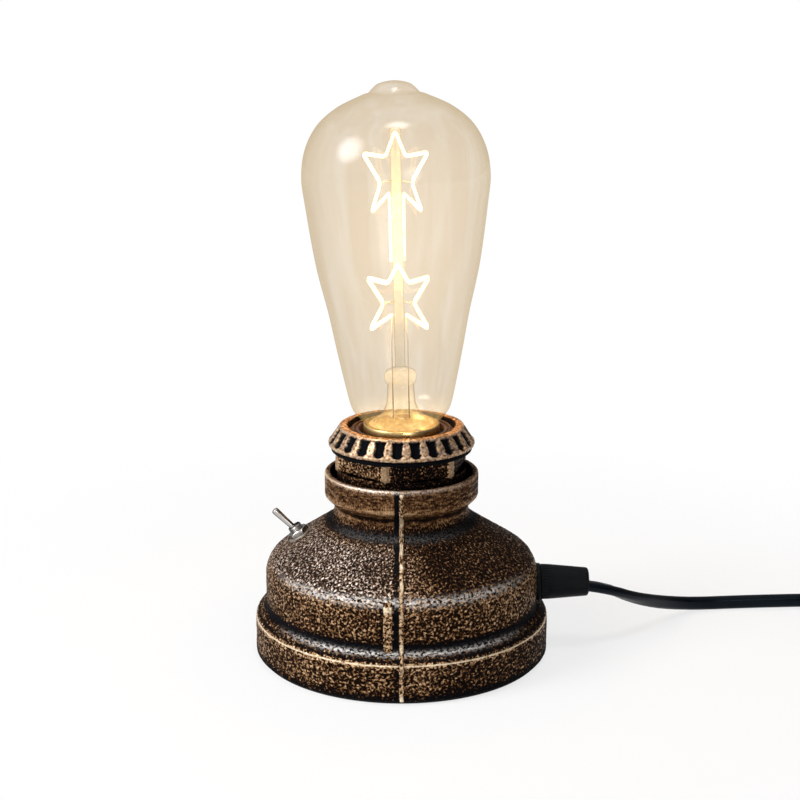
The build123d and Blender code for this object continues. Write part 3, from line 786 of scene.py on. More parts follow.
@dataclass
class Piece:
    """What every sub-assembly does with a finished piece."""

    def carry(
        self,
        obj: bpy.types.Object,
        body: Body,
        material: bpy.types.Material,
        slot: Slot,
        nodes: Iterable[str] = (),
    ) -> bpy.types.Object:
        """Dresses a piece, puts it on its body and hides the CAD nodes that it replaces.

        Args:
            obj: the piece.
            body: the body that carries it.
            material: its finish.
            slot: not used.
            nodes: the CAD nodes that it replaces.

        Returns:
            The piece.
        """
        obj.data.materials.clear()
        obj.data.materials.append(material)
        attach(obj, body.value)
        if nodes:
            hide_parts(*nodes)
        LOG.info("%s on %s", obj.name, body.value)
        return obj


@dataclass
class MainsCord(Piece):
    """Flat twin cord: out of the gland, down to the table, and into a put-away coil beside the view."""

    width: float = 5.0
    thick: float = 3.5
    route: Sequence[Point3] = (
        (50.0, 0.0, 23.1),
        (69.5, 0.0, 21.6),
        (84.0, 11.0, 12.2),
        (104.0, 31.0, 2.6),
        (128.0, 33.6, 2.6),
        (153.2, 33.4, 3.3),
        (174.2, 33.4, 3.3),
    )
    centre: Point3 = (183.0, -5.1, 3.3)
    outer: float = 38.5
    pitch: float = 4.9
    layer: float = 5.2
    halves: int = 9
    run_out: float = 30.0
    points: list[Vector] = field(default_factory=list)

    def turns(self) -> list[Point3]:
        """The coil's own control points.

        Returns:
            Points that spiral in, climb a layer where they reverse, and spiral out to the plug.
        """
        x, y, z = self.centre
        found: list[Point3] = []
        swell = 1 / 0.966
        top = y + self.outer
        side = 1
        for k in range(2 * self.halves):
            inward = k if k <= self.halves else 2 * self.halves - k
            radius = self.outer - inward * self.pitch / 2
            middle = top - side * radius
            for a in (15, 45, 75, 105, 135, 165):
                turn = math.radians(a)
                climb = smooth(0, 180, a) if k == self.halves else float(k > self.halves)
                found.append(
                    (
                        x + side * radius * swell * math.sin(turn),
                        middle + side * radius * swell * math.cos(turn),
                        z + climb * self.layer,
                    )
                )
            top = middle - side * radius
            side = -side
        for a in (15, 45, 75):
            turn = math.radians(a)
            found.append(
                (
                    x + self.outer * swell * math.sin(turn),
                    top - self.outer + self.outer * swell * math.cos(turn),
                    z + self.layer,
                )
            )
        for back in (6.0, 18.0, self.run_out):
            found.append((x + self.outer, top - self.outer - back, z + self.layer))
        return found

    def line(self) -> list[Vector]:
        """Reads the smooth centre line from the route's spline.

        Returns:
            The points, in metres.
        """
        curve = bpy.data.curves.new("cord_line", "CURVE")
        curve.dimensions = "3D"
        spline = curve.splines.new("NURBS")
        control = list(self.route) + self.turns()
        spline.points.add(len(control) - 1)
        for point, place in zip(spline.points, control):
            point.co = (*(c * MM for c in place), 1.0)
        spline.order_u = 3
        spline.use_endpoint_u = True
        curve.resolution_u = 5
        holder = bpy.data.objects.new("cord_line", curve)
        bpy.context.scene.collection.objects.link(holder)
        mesh = bpy.data.meshes.new_from_object(holder)
        points = [v.co.copy() for v in mesh.vertices]
        bpy.data.objects.remove(holder)
        bpy.data.curves.remove(curve)
        bpy.data.meshes.remove(mesh)
        return points

    def build(self) -> bpy.types.Object:
        """Skins the flat section along the line, turning it on edge where it reaches the table.

        Returns:
            The cord.
        """
        self.points = self.line()
        count = 20
        flat = (self.width - self.thick) / 2 * MM
        radius = self.thick / 2 * MM
        runs = [0.0]
        for a, b in zip(self.points, self.points[1:]):
            runs.append(runs[-1] + (b - a).length)

        def section(i: int) -> list[Vector]:
            """The stadium round one point of the line."""
            ahead = self.points[min(i + 1, len(self.points) - 1)] - self.points[max(i - 1, 0)]
            ahead.normalize()
            up = (Vector((0, 0, 1)) - ahead * ahead.z).normalized()
            side = ahead.cross(up)
            twist = math.pi / 2 * smooth(18 * MM, 64 * MM, runs[i])
            wide = side * math.cos(twist) + up * math.sin(twist)
            thin = ahead.cross(wide)
            ring = []
            for k in range(count):
                a = 2 * math.pi * (k + 0.5) / count
                shift = flat if math.cos(a) > 0 else -flat
                across = wide * (shift + radius * math.cos(a))
                ring.append(self.points[i] + across + thin * radius * math.sin(a))
            return ring

        mesh = Mesh("mains_cord")
        mesh.tube(self.points, section)
        return mesh.finish(flat=60)

    def dress(self, finish: Moulded, on_cord: Sequence[bpy.types.Object]) -> bpy.types.Object:
        """Args:
            finish: its sheath.
            on_cord: not used.

        Returns:
            The cord.
        """
        obj = self.carry(
            self.build(), Body.BASE, finish.material("cord_sheath"), Slot.PVC, ("cord_run", "cord_coil")
        )
        return obj


@dataclass
class CastBody(Piece):
    """The base casting: a turned skin with its parting rib, small pad and rough cast surface."""

    steps: int = 400
    step: float = 0.75
    corners: Sequence[Point2] = (
        (46.2, 1.0),
        (50.8, 1.0),
        (50.8, 13.6),
        (46.9, 16.6),
        (46.9, 32.7),
        (22.9, 48.3),
        (22.9, 52.4),
        (26.3, 55.7),
        (26.3, 63.75),
        (24.3, 63.75),
        (24.3, 58.5),
        (20.1, 58.5),
    )
    radii: Sequence[float] = (0, 0.4, 2.4, 1.2, 8.6, 6.0, 0.6, 1.0, 0.7, 0.4, 0, 0)
    worn: Sequence[tuple[float, float, float, float]] = (
        (50.6, 13.2, 0.75, 1.0),
        (46.2, 31.6, 2.0, 0.25),
        (26.2, 63.5, 0.45, 0.95),
        (26.2, 56.0, 0.7, 0.6),
        (24.4, 63.6, 0.4, 0.4),
    )
    # Darkened places: patina in the coves at the flange and the neck, painted shade inside the collar, and a
    # darker bottom edge.
    sunk: Sequence[tuple[float, float, float, float]] = (
        (47.0, 17.6, 1.1, 1.0),
        (49.8, 14.6, 0.45, 0.7),
        (24.9, 47.3, 1.5, 0.85),
        (23.3, 53.0, 0.6, 0.6),
        (50.8, 1.0, 1.4, 0.8),
        (22.2, 60.0, 1.3, 1.0),
    )
    # Painted white glints at the flange cove, the shoulder corner, the neck base and the collar rim.
    painted_glints: Sequence[tuple[float, float, float, float]] = (
        (47.8, 16.0, 0.6, 1.0),
        (45.7, 32.7, 0.95, 0.8),
        (25.4, 46.9, 1.1, 0.13),
        (26.1, 63.6, 0.5, 0.8),
    )
    rib_half: float = 0.78
    rib_high: float = 0.66
    pad: Point2 = (-5.9, -2.9)
    pad_top: float = 31.0
    pad_high: float = 0.58

    @staticmethod
    def near(spots: Sequence[tuple[float, float, float, float]], r: float, z: float) -> float:
        """How strongly a place on the profile is marked.

        Args:
            spots: radius, height, reach and weight of each mark.
            r: the radius asked for, in millimetres.
            z: the height asked for, in millimetres.

        Returns:
            The strongest mark there, from 0 to 1.
        """
        best = 0.0
        for wr, wz, width, weight in spots:
            best = max(best, weight * math.exp(-((r - wr) ** 2 + (z - wz) ** 2) / (2 * width * width)))
        return best

    def skin(self, mesh: Mesh, profile: Sequence[Point2]) -> None:
        """Turns the skin, roughens it and marks its worn and sunk places, its painted shade and its painted
        highlights.

        Args:
            mesh: the piece.
            profile: the rounded profile.
        """
        bm = mesh.bm
        marks = ("edge", "hollow_and_shade", "streak", "painted_glint", "painted_sheen")
        for name in marks:
            bm.verts.layers.float.new(name)
        edge, hollow_and_shade, streak, painted_glint, painted_sheen = (bm.verts.layers.float[n] for n in marks)
        mesh.spin(profile, self.steps, turn=-math.pi / 2)
        mesh.outward()
        moves = []
        for v in bm.verts:
            p = v.co / MM
            r = math.hypot(p.x, p.y)
            blob = noise.noise(p / 1.9) + 0.5 * noise.noise(p / 0.9)
            wave = noise.noise(p / 9.0)
            outside = smooth(21.5, 22.5, r) * smooth(1.0, 2.0, p.z) * (1 - smooth(63.5, 63.75, p.z) * 0.6)
            collar = smooth(53.5, 57.0, p.z)
            # Inside of the collar darkened: painted shade.
            within = collar * (1 - smooth(24.2, 24.8, r))
            deep = 0.55 + 0.45 * smooth(34.0, 44.0, p.z)
            # Dark lines beside the rib and the pad: painted shade.
            beside = (1 - smooth(0.55, 0.95, abs(p.x + 1.55))) * deep * outside
            if p.y < 0 and 46 < r < 48 and 15 < p.z < self.pad_top + 0.6:
                beside = max(beside, 0.5 - 0.5 * smooth(0.25, 0.6, abs(p.x - self.pad[0] + 0.35)))
                beside = max(beside, 1 - smooth(0.5, 0.9, abs(p.x - self.pad[1] - 0.9)))
            front = -p.y / r
            # Collar rim wear is weaker on the right, a painted highlight on the lit left.
            v[edge] = self.near(self.worn, r, p.z) * (1 - 0.4 * collar * smooth(-0.35, 0.35, p.x / r))
            # The right of the collar, the shoulder and the flange darkened: painted shade on the side away
            # from the key light.
            right = smooth(0.0, 0.4, p.x / r)
            slant = smooth(30.0, 33.0, p.z) * (1 - smooth(44.0, 47.0, p.z))
            foot = 1 - smooth(15.0, 18.0, p.z)
            painted_shade_side = right * (0.12 * smooth(52.0, 54.0, p.z) + 0.26 * slant + 0.20 * foot)
            v[hollow_and_shade] = min(1.0, self.near(self.sunk, r, p.z) + beside + within + painted_shade_side)
            # Glints fade away from the front and dim on the right: painted highlights.
            fade = smooth(0.45, 0.97, front) if p.z < 20 else smooth(0.30, 0.92, front)
            dim = 1 - (0.2 + 0.3 * collar) * smooth(-0.3, 0.3, p.x / r)
            v[painted_glint] = self.near(self.painted_glints, r, p.z) * fade * dim
            v[streak] = 0.85 * smooth(49.0, 51.0, p.z)
            # Sheen on the left front of the shoulder: a painted highlight.
            slope = smooth(31.0, 34.5, p.z) * (1 - smooth(43.0, 46.5, p.z))
            v[painted_sheen] = slope * smooth(-0.30, 0.35, -p.x / r) * (0.4 + 0.6 * smooth(-0.2, 0.5, front))
            rough = 0.13 * blob * (1 - 0.6 * collar) + 0.10 * wave
            rim = smooth(49.0, 50.3, r)
            rough = min(rough - 0.10 * rim, 0.3 - 0.34 * rim)
            moves.append((v, v.normal * (rough * (0.3 + 0.7 * outside) * MM)))
        for v, move in moves:
            v.co += move

    def strip(self, mesh: Mesh, rows: Sequence[tuple], columns: Sequence[tuple], back: bool) -> None:
        """Lays a raised strip on the skin.

        Args:
            mesh: the piece.
            rows: radius, height, outward direction, share of the full height and middle of each row.
            columns: distance from the strip's middle, height and wear of each column.
            back: whether the strip is on the far side.
        """
        bm = mesh.bm
        edge, hollow_and_shade, run = (bm.verts.layers.float[n] for n in ("edge", "hollow_and_shade", "run"))
        old = len(bm.faces)
        line: list[bmesh.types.BMVert] = []
        for r, z, out, share, middle in rows:
            places, marks = [], []
            for x, high, wear in columns:
                stray = noise.noise(Vector((3.0 if back else 0.0, z / 4.0, r / 4.0)))
                lift = high * share * (1 + 0.16 * stray) if high > 0 else high
                across = middle + x + 0.10 * stray
                reach = math.sqrt(max(0.0, (r + out[0] * lift) ** 2 - across**2))
                places.append(Vector((across, reach if back else -reach, z + out[1] * lift)) * MM)
                # Columns at the strip's foot are darkened: painted shade along the rib and the pad.
                marks.append((min(0.97, wear * share * (0.95 + 0.4 * stray)), 0.9 if high < 0.05 else 0.0))
            line = mesh.lengthen(line, places) if line else mesh.chain(places)
            for v, (worn, sunk) in zip(line, marks):
                v[edge], v[hollow_and_shade], v[run] = worn, sunk, z
        bm.normal_update()
        bm.faces.ensure_lookup_table()
        fresh = bm.faces[old:]
        if sum(f.normal.y for f in fresh) * (1 if back else -1) < 0:
            bmesh.ops.reverse_faces(bm, faces=fresh)

    def build(self) -> bpy.types.Object:
        """Makes the skin, the parting rib front and back, and the pad.

        Returns:
            The casting.
        """
        mesh = Mesh("cast_base")
        profile = rounded(self.corners, self.radii, self.step)
        self.skin(mesh, profile)
        rows = []
        for a, here, b in zip(profile, profile[1:], profile[2:]):
            if here[0] < 22.5 or (here[0] < 26.0 and here[1] > 57.0) or not 1.3 < here[1] < 63.3:
                continue
            run = (Vector(b) - Vector(a)).normalized()
            rows.append((*here, (run.y, -run.x), 1.0, 0.0))
        half, high = self.rib_half, self.rib_high
        section = [
            (-1.35 * half, -0.35, 0.0),
            (-1.02 * half, 0.02, 0.0),
            (-0.94 * half, 0.5 * high, 0.6),
            (-0.70 * half, 0.92 * high, 0.88),
            (0.0, high, 0.94),
            (0.70 * half, 0.92 * high, 0.88),
            (0.94 * half, 0.5 * high, 0.6),
            (1.02 * half, 0.02, 0.0),
            (1.35 * half, -0.35, 0.0),
        ]
        strips = Mesh("strips")
        for name in ("edge", "hollow_and_shade"):
            strips.bm.verts.layers.float.new(name)
        for back in (False, True):
            self.strip(strips, rows, section, back)
        left, right = self.pad
        wide, middle = (right - left) / 2, (left + right) / 2
        block = [
            (-wide - 0.25, -0.4, 0.0),
            (-wide, 0.0, 0.0),
            (-wide + 0.12, 0.75 * self.pad_high, 0.7),
            (-wide + 0.4, self.pad_high, 0.78),
            (0.0, self.pad_high, 0.66),
            (wide - 0.4, self.pad_high, 0.78),
            (wide - 0.12, 0.75 * self.pad_high, 0.7),
            (wide, 0.0, 0.0),
            (wide + 0.25, -0.4, 0.0),
        ]
        tall = []
        for r, z in profile:
            if 45.0 < r < 47.2 and 15.9 < z < self.pad_top + 2.2:
                proud = (46.9 + self.pad_high - r) / self.pad_high
                share = proud * (1 - smooth(self.pad_top - 0.4, self.pad_top + 2.1, z))
                tall.append((r, z, (1.0, 0.0), share, middle))
        self.strip(strips, tall, block, False)
        mesh.join(strips)
        mesh.bm.normal_update()
        mesh.wrap(44.0)
        return mesh.finish(outward=False)

    def dress(self, finish: CastBronze) -> bpy.types.Object:
        """Builds and finishes the casting.

        Args:
            finish: the cast finish.

        Returns:
            The casting.
        """
        return self.carry(self.build(), Body.BASE, finish.material("cast_base"), Slot.CAST, ("base_casting",))


@dataclass
class ClampRing(Piece):
    """The notched ring: a turned ring with waisted notches sunk in its flank."""

    columns: int = 22
    count: int = 24
    first: float = -93.4
    depth: float = 1.15
    corners: Sequence[Point2] = (
        (20.2, 71.4),
        (24.0, 71.4),
        (24.0, 72.4),
        (23.4, 72.8),
        (24.9, 73.2),
        (24.9, 74.3),
        (24.3, 74.8),
        (21.3, 79.4),
        (20.9, 79.8),
        (18.1, 79.8),
        (18.1, 77.6),
        (19.9, 77.6),
    )
    radii: Sequence[float] = (0, 0.3, 0.3, 0.2, 0.5, 0.5, 0.3, 0.4, 0.3, 0.4, 0, 0)

    def sunk(self, turn: float, z: float, r: float) -> float:
        """How deep the notch is at a place on the flank.

        Args:
            turn: the angle round the ring, in degrees.
            z: the height, in millimetres.
            r: the radius, in millimetres.

        Returns:
            0 on a land and 1 in a notch.
        """
        pitch = 360 / self.count
        off = (turn - self.first + pitch / 2) % pitch - pitch / 2
        across = abs(math.radians(off) * r)
        t = (z - 74.35) / (79.15 - 74.35)
        if not -0.2 < t < 1.2:
            return 0.0
        waist = 1.56 + 0.50 * (1 - smooth(0.0, 0.36, t)) + 0.34 * smooth(0.70, 0.96, t)
        foot = smooth(-0.03 + 0.05 * across**2, 0.06 + 0.05 * across**2, t)
        head = 1 - smooth(0.93, 1.02, t)
        return (1 - smooth(waist - 0.10, waist + 0.12, across)) * foot * head

    def build(self) -> bpy.types.Object:
        """Turns the ring and sinks its notches.

        Returns:
            The ring.
        """
        mesh = Mesh("notched_ring_skin")
        bm = mesh.bm
        marks = ("edge", "hollow_and_shade", "painted_glint", "streak")
        for name in marks:
            bm.verts.layers.float.new(name)
        edge, hollow_and_shade, painted_glint, streak = (bm.verts.layers.float[n] for n in marks)
        mesh.spin(rounded(self.corners, self.radii, 0.28), self.count * self.columns)
        mesh.outward()
        moves = []
        for v in bm.verts:
            p = v.co / MM
            r = math.hypot(p.x, p.y)
            turn = math.degrees(math.atan2(p.y, p.x))
            flank = smooth(20.6, 21.0, r) * smooth(73.9, 74.3, p.z)
            sunk = self.sunk(turn, p.z, r) * flank
            blob = noise.noise(p / 1.3) + 0.5 * noise.noise(p / 0.6)
            rim = math.exp(-((r - 21.1) ** 2 + (p.z - 79.6) ** 2) / 0.5)
            bead = math.exp(-((r - 24.9) ** 2 + (p.z - 74.0) ** 2) / 0.9)
            land = flank * (1 - sunk)
            top = smooth(79.6, 79.75, p.z)
            v[edge] = max(rim * 0.8, 0.82 * bead, 0.66 * land, 0.5 * top) * (1 - sunk)
            # Painted glints on the lands and the bead.
            v[painted_glint] = 0.15 * max(land, bead) * (1 - sunk)
            v[streak] = 0.6
            # Notches keep their dark paint; under the bead and at the inner edge, painted shade.
            v[hollow_and_shade] = max(sunk, 1 - smooth(72.6, 73.1, p.z), 0.7 * (1 - smooth(18.2, 18.9, r)))
            moves.append((v, v.normal * ((0.07 * blob - self.depth * sunk) * MM)))
        for v, move in moves:
            v.co += move
        mesh.wrap(23.0)
        return mesh.finish(outward=False)

    def dress(self, finish: CastBronze) -> bpy.types.Object:
        """Builds and finishes the ring.

        Args:
            finish: the cast finish.

        Returns:
            The ring.
        """
        return self.carry(self.build(), Body.BASE, finish.material("cast_ring"), Slot.CAST, ("notched_ring",))


@dataclass
class HexBushing(Piece):
    """The hexagon under the ring, and the round seat that it stands on in the collar."""

    corner: float = 23.4
    bore: float = 18.2
    turn: float = 16.8
    low: float = 65.4
    high: float = 71.4

    def build(self) -> bpy.types.Object:
        """Makes the rough hexagon on its seat.

        Returns:
            The bushing.
        """
        mesh = Mesh("hex_bushing_skin")
        bm = mesh.bm
        for name in ("edge", "hollow_and_shade"):
            bm.verts.layers.float.new(name)
        made = bmesh.ops.create_circle(bm, cap_ends=True, segments=6, radius=self.corner * MM)
        turned = Matrix.Rotation(math.radians(self.turn - 90), 3, "Z")
        bmesh.ops.rotate(bm, verts=made["verts"], matrix=turned, cent=(0, 0, 0))
        bmesh.ops.translate(bm, verts=made["verts"], vec=(0, 0, self.low * MM))
        top = bmesh.ops.extrude_face_region(bm, geom=bm.faces[:])
        lifted = [e for e in top["geom"] if isinstance(e, bmesh.types.BMVert)]
        bmesh.ops.translate(bm, verts=lifted, vec=(0, 0, (self.high - self.low) * MM))
        bmesh.ops.bevel(
            bm, geom=bm.edges[:], offset=0.5 * MM, segments=2, profile=0.5, affect="EDGES", material=-1
        )
        for _ in range(5):
            long = [e for e in bm.edges if e.calc_length() > 1.0 * MM]
            if not long:
                break
            bmesh.ops.subdivide_edges(bm, edges=long, cuts=1, use_grid_fill=True)
        within = [f for f in bm.faces if f.calc_center_median().xy.length < 18.9 * MM]
        bmesh.ops.delete(bm, geom=within, context="FACES")
        bmesh.ops.recalc_face_normals(bm, faces=bm.faces)
        bm.normal_update()
        mesh.spin([(22.0, 65.5), (22.0, 58.6), (self.bore, 58.55), (self.bore, 71.3)], 96)
        bm.normal_update()
        edge, hollow_and_shade, run = (bm.verts.layers.float[n] for n in ("edge", "hollow_and_shade", "run"))
        apothem = self.corner * math.cos(math.pi / 6)
        moves = []
        for v in bm.verts:
            p = v.co / MM
            r = math.hypot(p.x, p.y)
            blob = noise.noise(p / 1.2) + 0.6 * noise.noise(p / 0.6)
            below = 1 - smooth(65.2, 65.6, p.z)
            v[run] = p.z
            v[edge] = 0.95 * smooth(apothem + 2.0, self.corner - 0.6, r) * (1 - below)
            # Faces towards the right and front, the seat in the collar and the band under the ring darkened:
            # painted shade.
            painted_shade_side = 0.52 * smooth(-6.0, -4.0, p.x) * (1 - v[edge])
            v[hollow_and_shade] = max(below, painted_shade_side, 0.35 * (1 - smooth(0.0, 1.2, abs(p.z - self.high))))
            moves.append((v, v.normal * (0.10 * blob * (1 - below) * MM)))
        for v, move in moves:
            v.co += move
        mesh.wrap(22.0)
        return mesh.finish(outward=True)

    def dress(self, finish: CastBronze) -> bpy.types.Object:
        """Builds and finishes the bushing.

        Args:
            finish: the cast finish.

        Returns:
            The bushing.
        """
        return self.carry(self.build(), Body.BASE, finish.material("cast_hex"), Slot.CAST, ("hex_bushing",))


@dataclass
class Lampholder(Piece):
    """The moulded holder's rim inside the ring, with its brass shell below."""

    def build(self) -> tuple[bpy.types.Object, bpy.types.Object]:
        """Turns the rim and winds the shell.

        Returns:
            The moulded body and the shell.
        """
        rim = Mesh("lampholder_rim")
        corners = (
            (17.9, 60.0),
            (17.9, 76.0),
            (19.6, 76.0),
            (19.6, 77.55),
            (17.4, 77.55),
            (17.0, 77.8),
            (17.0, 78.8),
            (16.4, 78.8),
            (16.3, 77.8),
            (15.7, 77.8),
            (15.6, 78.5),
            (14.6, 78.5),
            (14.6, 76.3),
            (14.05, 75.5),
            (14.05, 50.0),
            (3.65, 50.0),
        )
        radii = (0, 0, *(0.2,) * 6, 0.1, 0.1, *(0.2,) * 4, 0, 0)
        rim.spin(rounded(corners, radii, 0.6), 128)
        shell = Mesh("screw_shell")
        rows = [(13.72, 55.6 + k * 0.3) for k in range(67)]
        verts = shell.spin(rows, 72)
        for v in verts:
            turn = math.atan2(v.co.y, v.co.x)
            r = 13.74 + 0.19 * math.cos(turn - 2 * math.pi * v.co.z / MM / 3.629)
            v.co.x = r * MM * math.cos(turn)
            v.co.y = r * MM * math.sin(turn)
        return rim.finish(flat=40), shell.finish()

    def dress(self, moulding: Moulded, brass: bpy.types.Material) -> None:
        """Builds and finishes the holder.

        Args:
            moulding: the holder's plastic.
            brass: the shell's material.
        """
        rim, shell = self.build()
        self.carry(rim, Body.BASE, moulding.material("holder_moulding"), Slot.PHENOLIC, ("lampholder_body",))
        self.carry(shell, Body.BASE, brass, Slot.BRASS, ("lampholder_shell",))


@dataclass
class Bulb(Piece):
    """The pear-shaped bulb: blown glass, threaded cap, stem, rod and two star filaments."""

    outline: Sequence[Point2] = (
        (12.1, 80.0),
        (14.3, 83.0),
        (16.7, 86.2),
        (18.75, 94.5),
        (21.3, 107.0),
        (23.6, 119.0),
        (27.2, 135.0),
        (30.1, 155.0),
        (30.97, 164.0),
        (29.6, 172.7),
        (25.5, 180.4),
        (18.9, 186.0),
        (10.8, 189.8),
        (8.4, 190.6),
        (7.5, 191.5),
        (5.0, 193.5),
        (0.0, 194.4),
    )
    wall: float = 0.7
    lean: float = 1.25
    star_wire: float = 0.42
    lead_wire: float = 0.22
    hook_wire: float = 0.16
    cap_top: float = 80.4
    steps: int = 144
    upper: Sequence[Point2] = (
        (2.3, 158.2),
        (8.3, 152.0),
        (5.1, 161.6),
        (10.7, 171.3),
        (3.3, 170.0),
        (0.0, 178.4),
    )
    lower: Sequence[Point2] = (
        (2.3, 117.6),
        (9.8, 112.7),
        (5.0, 121.5),
        (10.4, 130.2),
        (3.4, 128.3),
        (0.0, 134.8),
    )
    apart: float = 2.1
    foot: float = 0.75

    def smooth_outline(self) -> list[Point2]:
        """Reads a smooth outline through the given points.

        Returns:
            Radius and height of each sample, in millimetres.
        """
        pts = [Vector((r, z)) for r, z in self.outline]
        pts = [pts[0] * 2 - pts[1]] + pts + [Vector((-pts[-2].x, pts[-2].y))]
        found: list[Point2] = []
        for a, b, c, d in zip(pts, pts[1:], pts[2:], pts[3:]):
            for k in range(8):
                t = k / 8
                p = 0.5 * (
                    2 * b + (c - a) * t + (2 * a - 5 * b + 4 * c - d) * t * t + (3 * b - a - 3 * c + d) * t**3
                )
                found.append((max(p.x, 0.0), p.y))
        return found + [(0.0, self.outline[-1][1])]

    def leaned(self, mesh: Mesh) -> bpy.types.Object:
        """Finishes a piece that leans with the glass, which was set a little out of true in its cap.

        Args:
            mesh: the piece, upright.

        Returns:
            The piece, leaned towards the switch.
        """
        turn = Matrix.Rotation(-math.radians(self.lean), 3, "Y")
        bmesh.ops.rotate(mesh.bm, verts=mesh.bm.verts, cent=(0, 0, self.cap_top * MM), matrix=turn)
        return mesh.finish()

    @staticmethod
    def light(mesh: Mesh, marks: Sequence[tuple[float, float]]) -> None:
        """Marks how brightly the glow lights the glass at each height, for its painted glow.

        Args:
            mesh: the piece, upright.
            marks: heights in millimetres and the light there, in rising order.
        """
        layer = mesh.bm.verts.layers.float.new("lit")
        for v in mesh.bm.verts:
            z = v.co.z / MM
            value = marks[0][1]
            for (low, before), (high, after) in zip(marks, marks[1:]):
                if z >= low:
                    value = before + (after - before) * smooth(low, high, z)
            v[layer] = value

    def glass(self) -> bpy.types.Object:
        """Blows the envelope, with an inside wall.

        Returns:
            The envelope.
        """
        outside = self.smooth_outline()
        inside = []
        for i, (r, z) in enumerate(outside):
            a = Vector(outside[max(i - 1, 0)])
            b = Vector(outside[min(i + 1, len(outside) - 1)])
            run = (b - a).normalized()
            inside.append((max(0.0, r - run.y * self.wall), z + run.x * self.wall))
        inside[-1] = (0.0, outside[-1][1] - 1.6)
        mesh = Mesh("bulb_envelope")
        neck = [(11.4, 76.5), (11.4, 73.0), (12.1, 73.0), (12.1, 76.5)]
        mesh.spin(inside[::-1] + neck + outside, self.steps)
        self.light(mesh, ((73.0, 1.0), (81.0, 1.0), (88.0, 0.12), (97.0, 0.0)))
        bmesh.ops.recalc_face_normals(mesh.bm, faces=mesh.bm.faces)
        mesh.bm.normal_update()
        lining = mesh.bm.verts.layers.float.new("lining")
        middle = Vector((0.0, 0.0, 140.0)) * MM
        for v in mesh.bm.verts:
            v[lining] = 1.0 if v.normal.dot(v.co - middle) < 0 else 0.0
        return self.leaned(mesh)

    def stem(self) -> bpy.types.Object:
        """Draws the stem: flare, tube and pinch.

        Returns:
            The stem.
        """
        mesh = Mesh("glass_stem")
        corners = ((11.0, 80.4), (6.3, 83.8), (4.9, 87.4), (4.5, 93.0), (4.3, 94.0))
        mesh.spin(rounded(corners, (0, 2.0, 4.0, 0, 0), 0.7), 48)
        verts = mesh.spin(
            [(4.3, 93.2), (5.0, 94.2), (5.4, 95.6), (5.35, 97.4), (4.6, 98.8), (3.0, 99.5), (1.7, 99.9)], 48
        )
        for v in verts:
            v.co.y *= 0.52
        self.light(mesh, ((80.0, 1.0), (81.4, 0.9), (84.0, 0.25), (94.0, 0.12), (97.0, 0.35), (99.8, 0.05)))
        return self.leaned(mesh)

    def rod(self) -> bpy.types.Object:
        """Draws the glass rod, with a melted bead at its top.

        Returns:
            The rod.
        """
        mesh = Mesh("glass_rod")
        shaft = [(1.7, 99.7 + 1.5 * k) for k in range(51)]
        bead = [(1.9, 177.6), (1.9, 178.6), (1.2, 179.4), (0.0, 179.6)]
        mesh.spin(shaft + bead, 32)
        below = ((99.7, 0.0), (110.0, 0.05), (119.0, 0.25), (133.0, 0.5))
        above = ((136.0, 1.0), (156.0, 1.0), (160.0, 0.5), (170.0, 0.35), (178.0, 0.2))
        self.light(mesh, below + above)
        return self.leaned(mesh)

    def loops(self, half: Sequence[Point2], face: int) -> list[Vector]:
        """One face of a star, from foot to foot.

        Args:
            half: the right half of the star, from its foot to its top.
            face: -1 for the near face and 1 for the far one.

        Returns:
            The corners, in metres.
        """
        turns = list(half) + [(-x, z) for x, z in reversed(half[:-1])]
        last = len(turns) - 1
        return [
            Vector((x, face * (self.foot if i in (0, last) else self.apart), z)) * MM
            for i, (x, z) in enumerate(turns)
        ]

    def wire(self, name: str, runs: Sequence[Sequence[Vector]], radius: float) -> bpy.types.Object:
        """Bends round wire through corners.

        Args:
            name: the piece's name.
            runs: the corners of each wire, in metres.
            radius: the wire's radius, in millimetres.

        Returns:
            The wires.
        """
        mesh = Mesh(name)
        for corners in runs:
            path: list[Vector] = [corners[0]]
            for a, b, c in zip(corners, corners[1:], corners[2:]):
                near = min((b - a).length, (c - b).length) * 0.16
                start = b + (a - b).normalized() * near
                end = b + (c - b).normalized() * near
                for t in (0.0, 0.25, 0.5, 0.75, 1.0):
                    path.append(start.lerp(b, t).lerp(b.lerp(end, t), t))
            path.append(corners[-1])

            def section(i: int, path: list[Vector] = path) -> list[Vector]:
                """The ring round one point of the wire."""
                ahead = (path[min(i + 1, len(path) - 1)] - path[max(i - 1, 0)]).normalized()
                side = ahead.cross(Vector((0, 1, 0.02))).normalized()
                up = side.cross(ahead)
                return [
                    path[i] + (side * math.cos(a) + up * math.sin(a)) * radius * MM
                    for a in (2 * math.pi * k / 8 for k in range(8))
                ]

            mesh.tube(path, section)
        return self.leaned(mesh)

    def cap(self) -> bpy.types.Object:
        """Rolls the threaded cap.

        Returns:
            The cap.
        """
        mesh = Mesh("threaded_cap")
        rows = [(12.0, 61.7)] + [(12.6, 62.6 + k * 0.3) for k in range(45)]
        rows += [(12.55, 76.4), (12.9, 76.9), (12.95, 80.1), (12.75, 80.4), (12.5, 80.3), (12.4, 62.8)]
        verts = mesh.spin(rows, 96)
        for v in verts:
            z = v.co.z / MM
            r = math.hypot(v.co.x, v.co.y) / MM
            if r > 12.5 and 62.5 < z < 76.3:
                turn = math.atan2(v.co.y, v.co.x)
                fade = smooth(62.5, 64.0, z) * (1 - smooth(74.6, 76.2, z))
                r = 12.62 + 0.38 * fade * math.cos(turn - 2 * math.pi * z / 3.629)
                v.co.x = r * MM * math.cos(turn)
                v.co.y = r * MM * math.sin(turn)
        return mesh.finish()

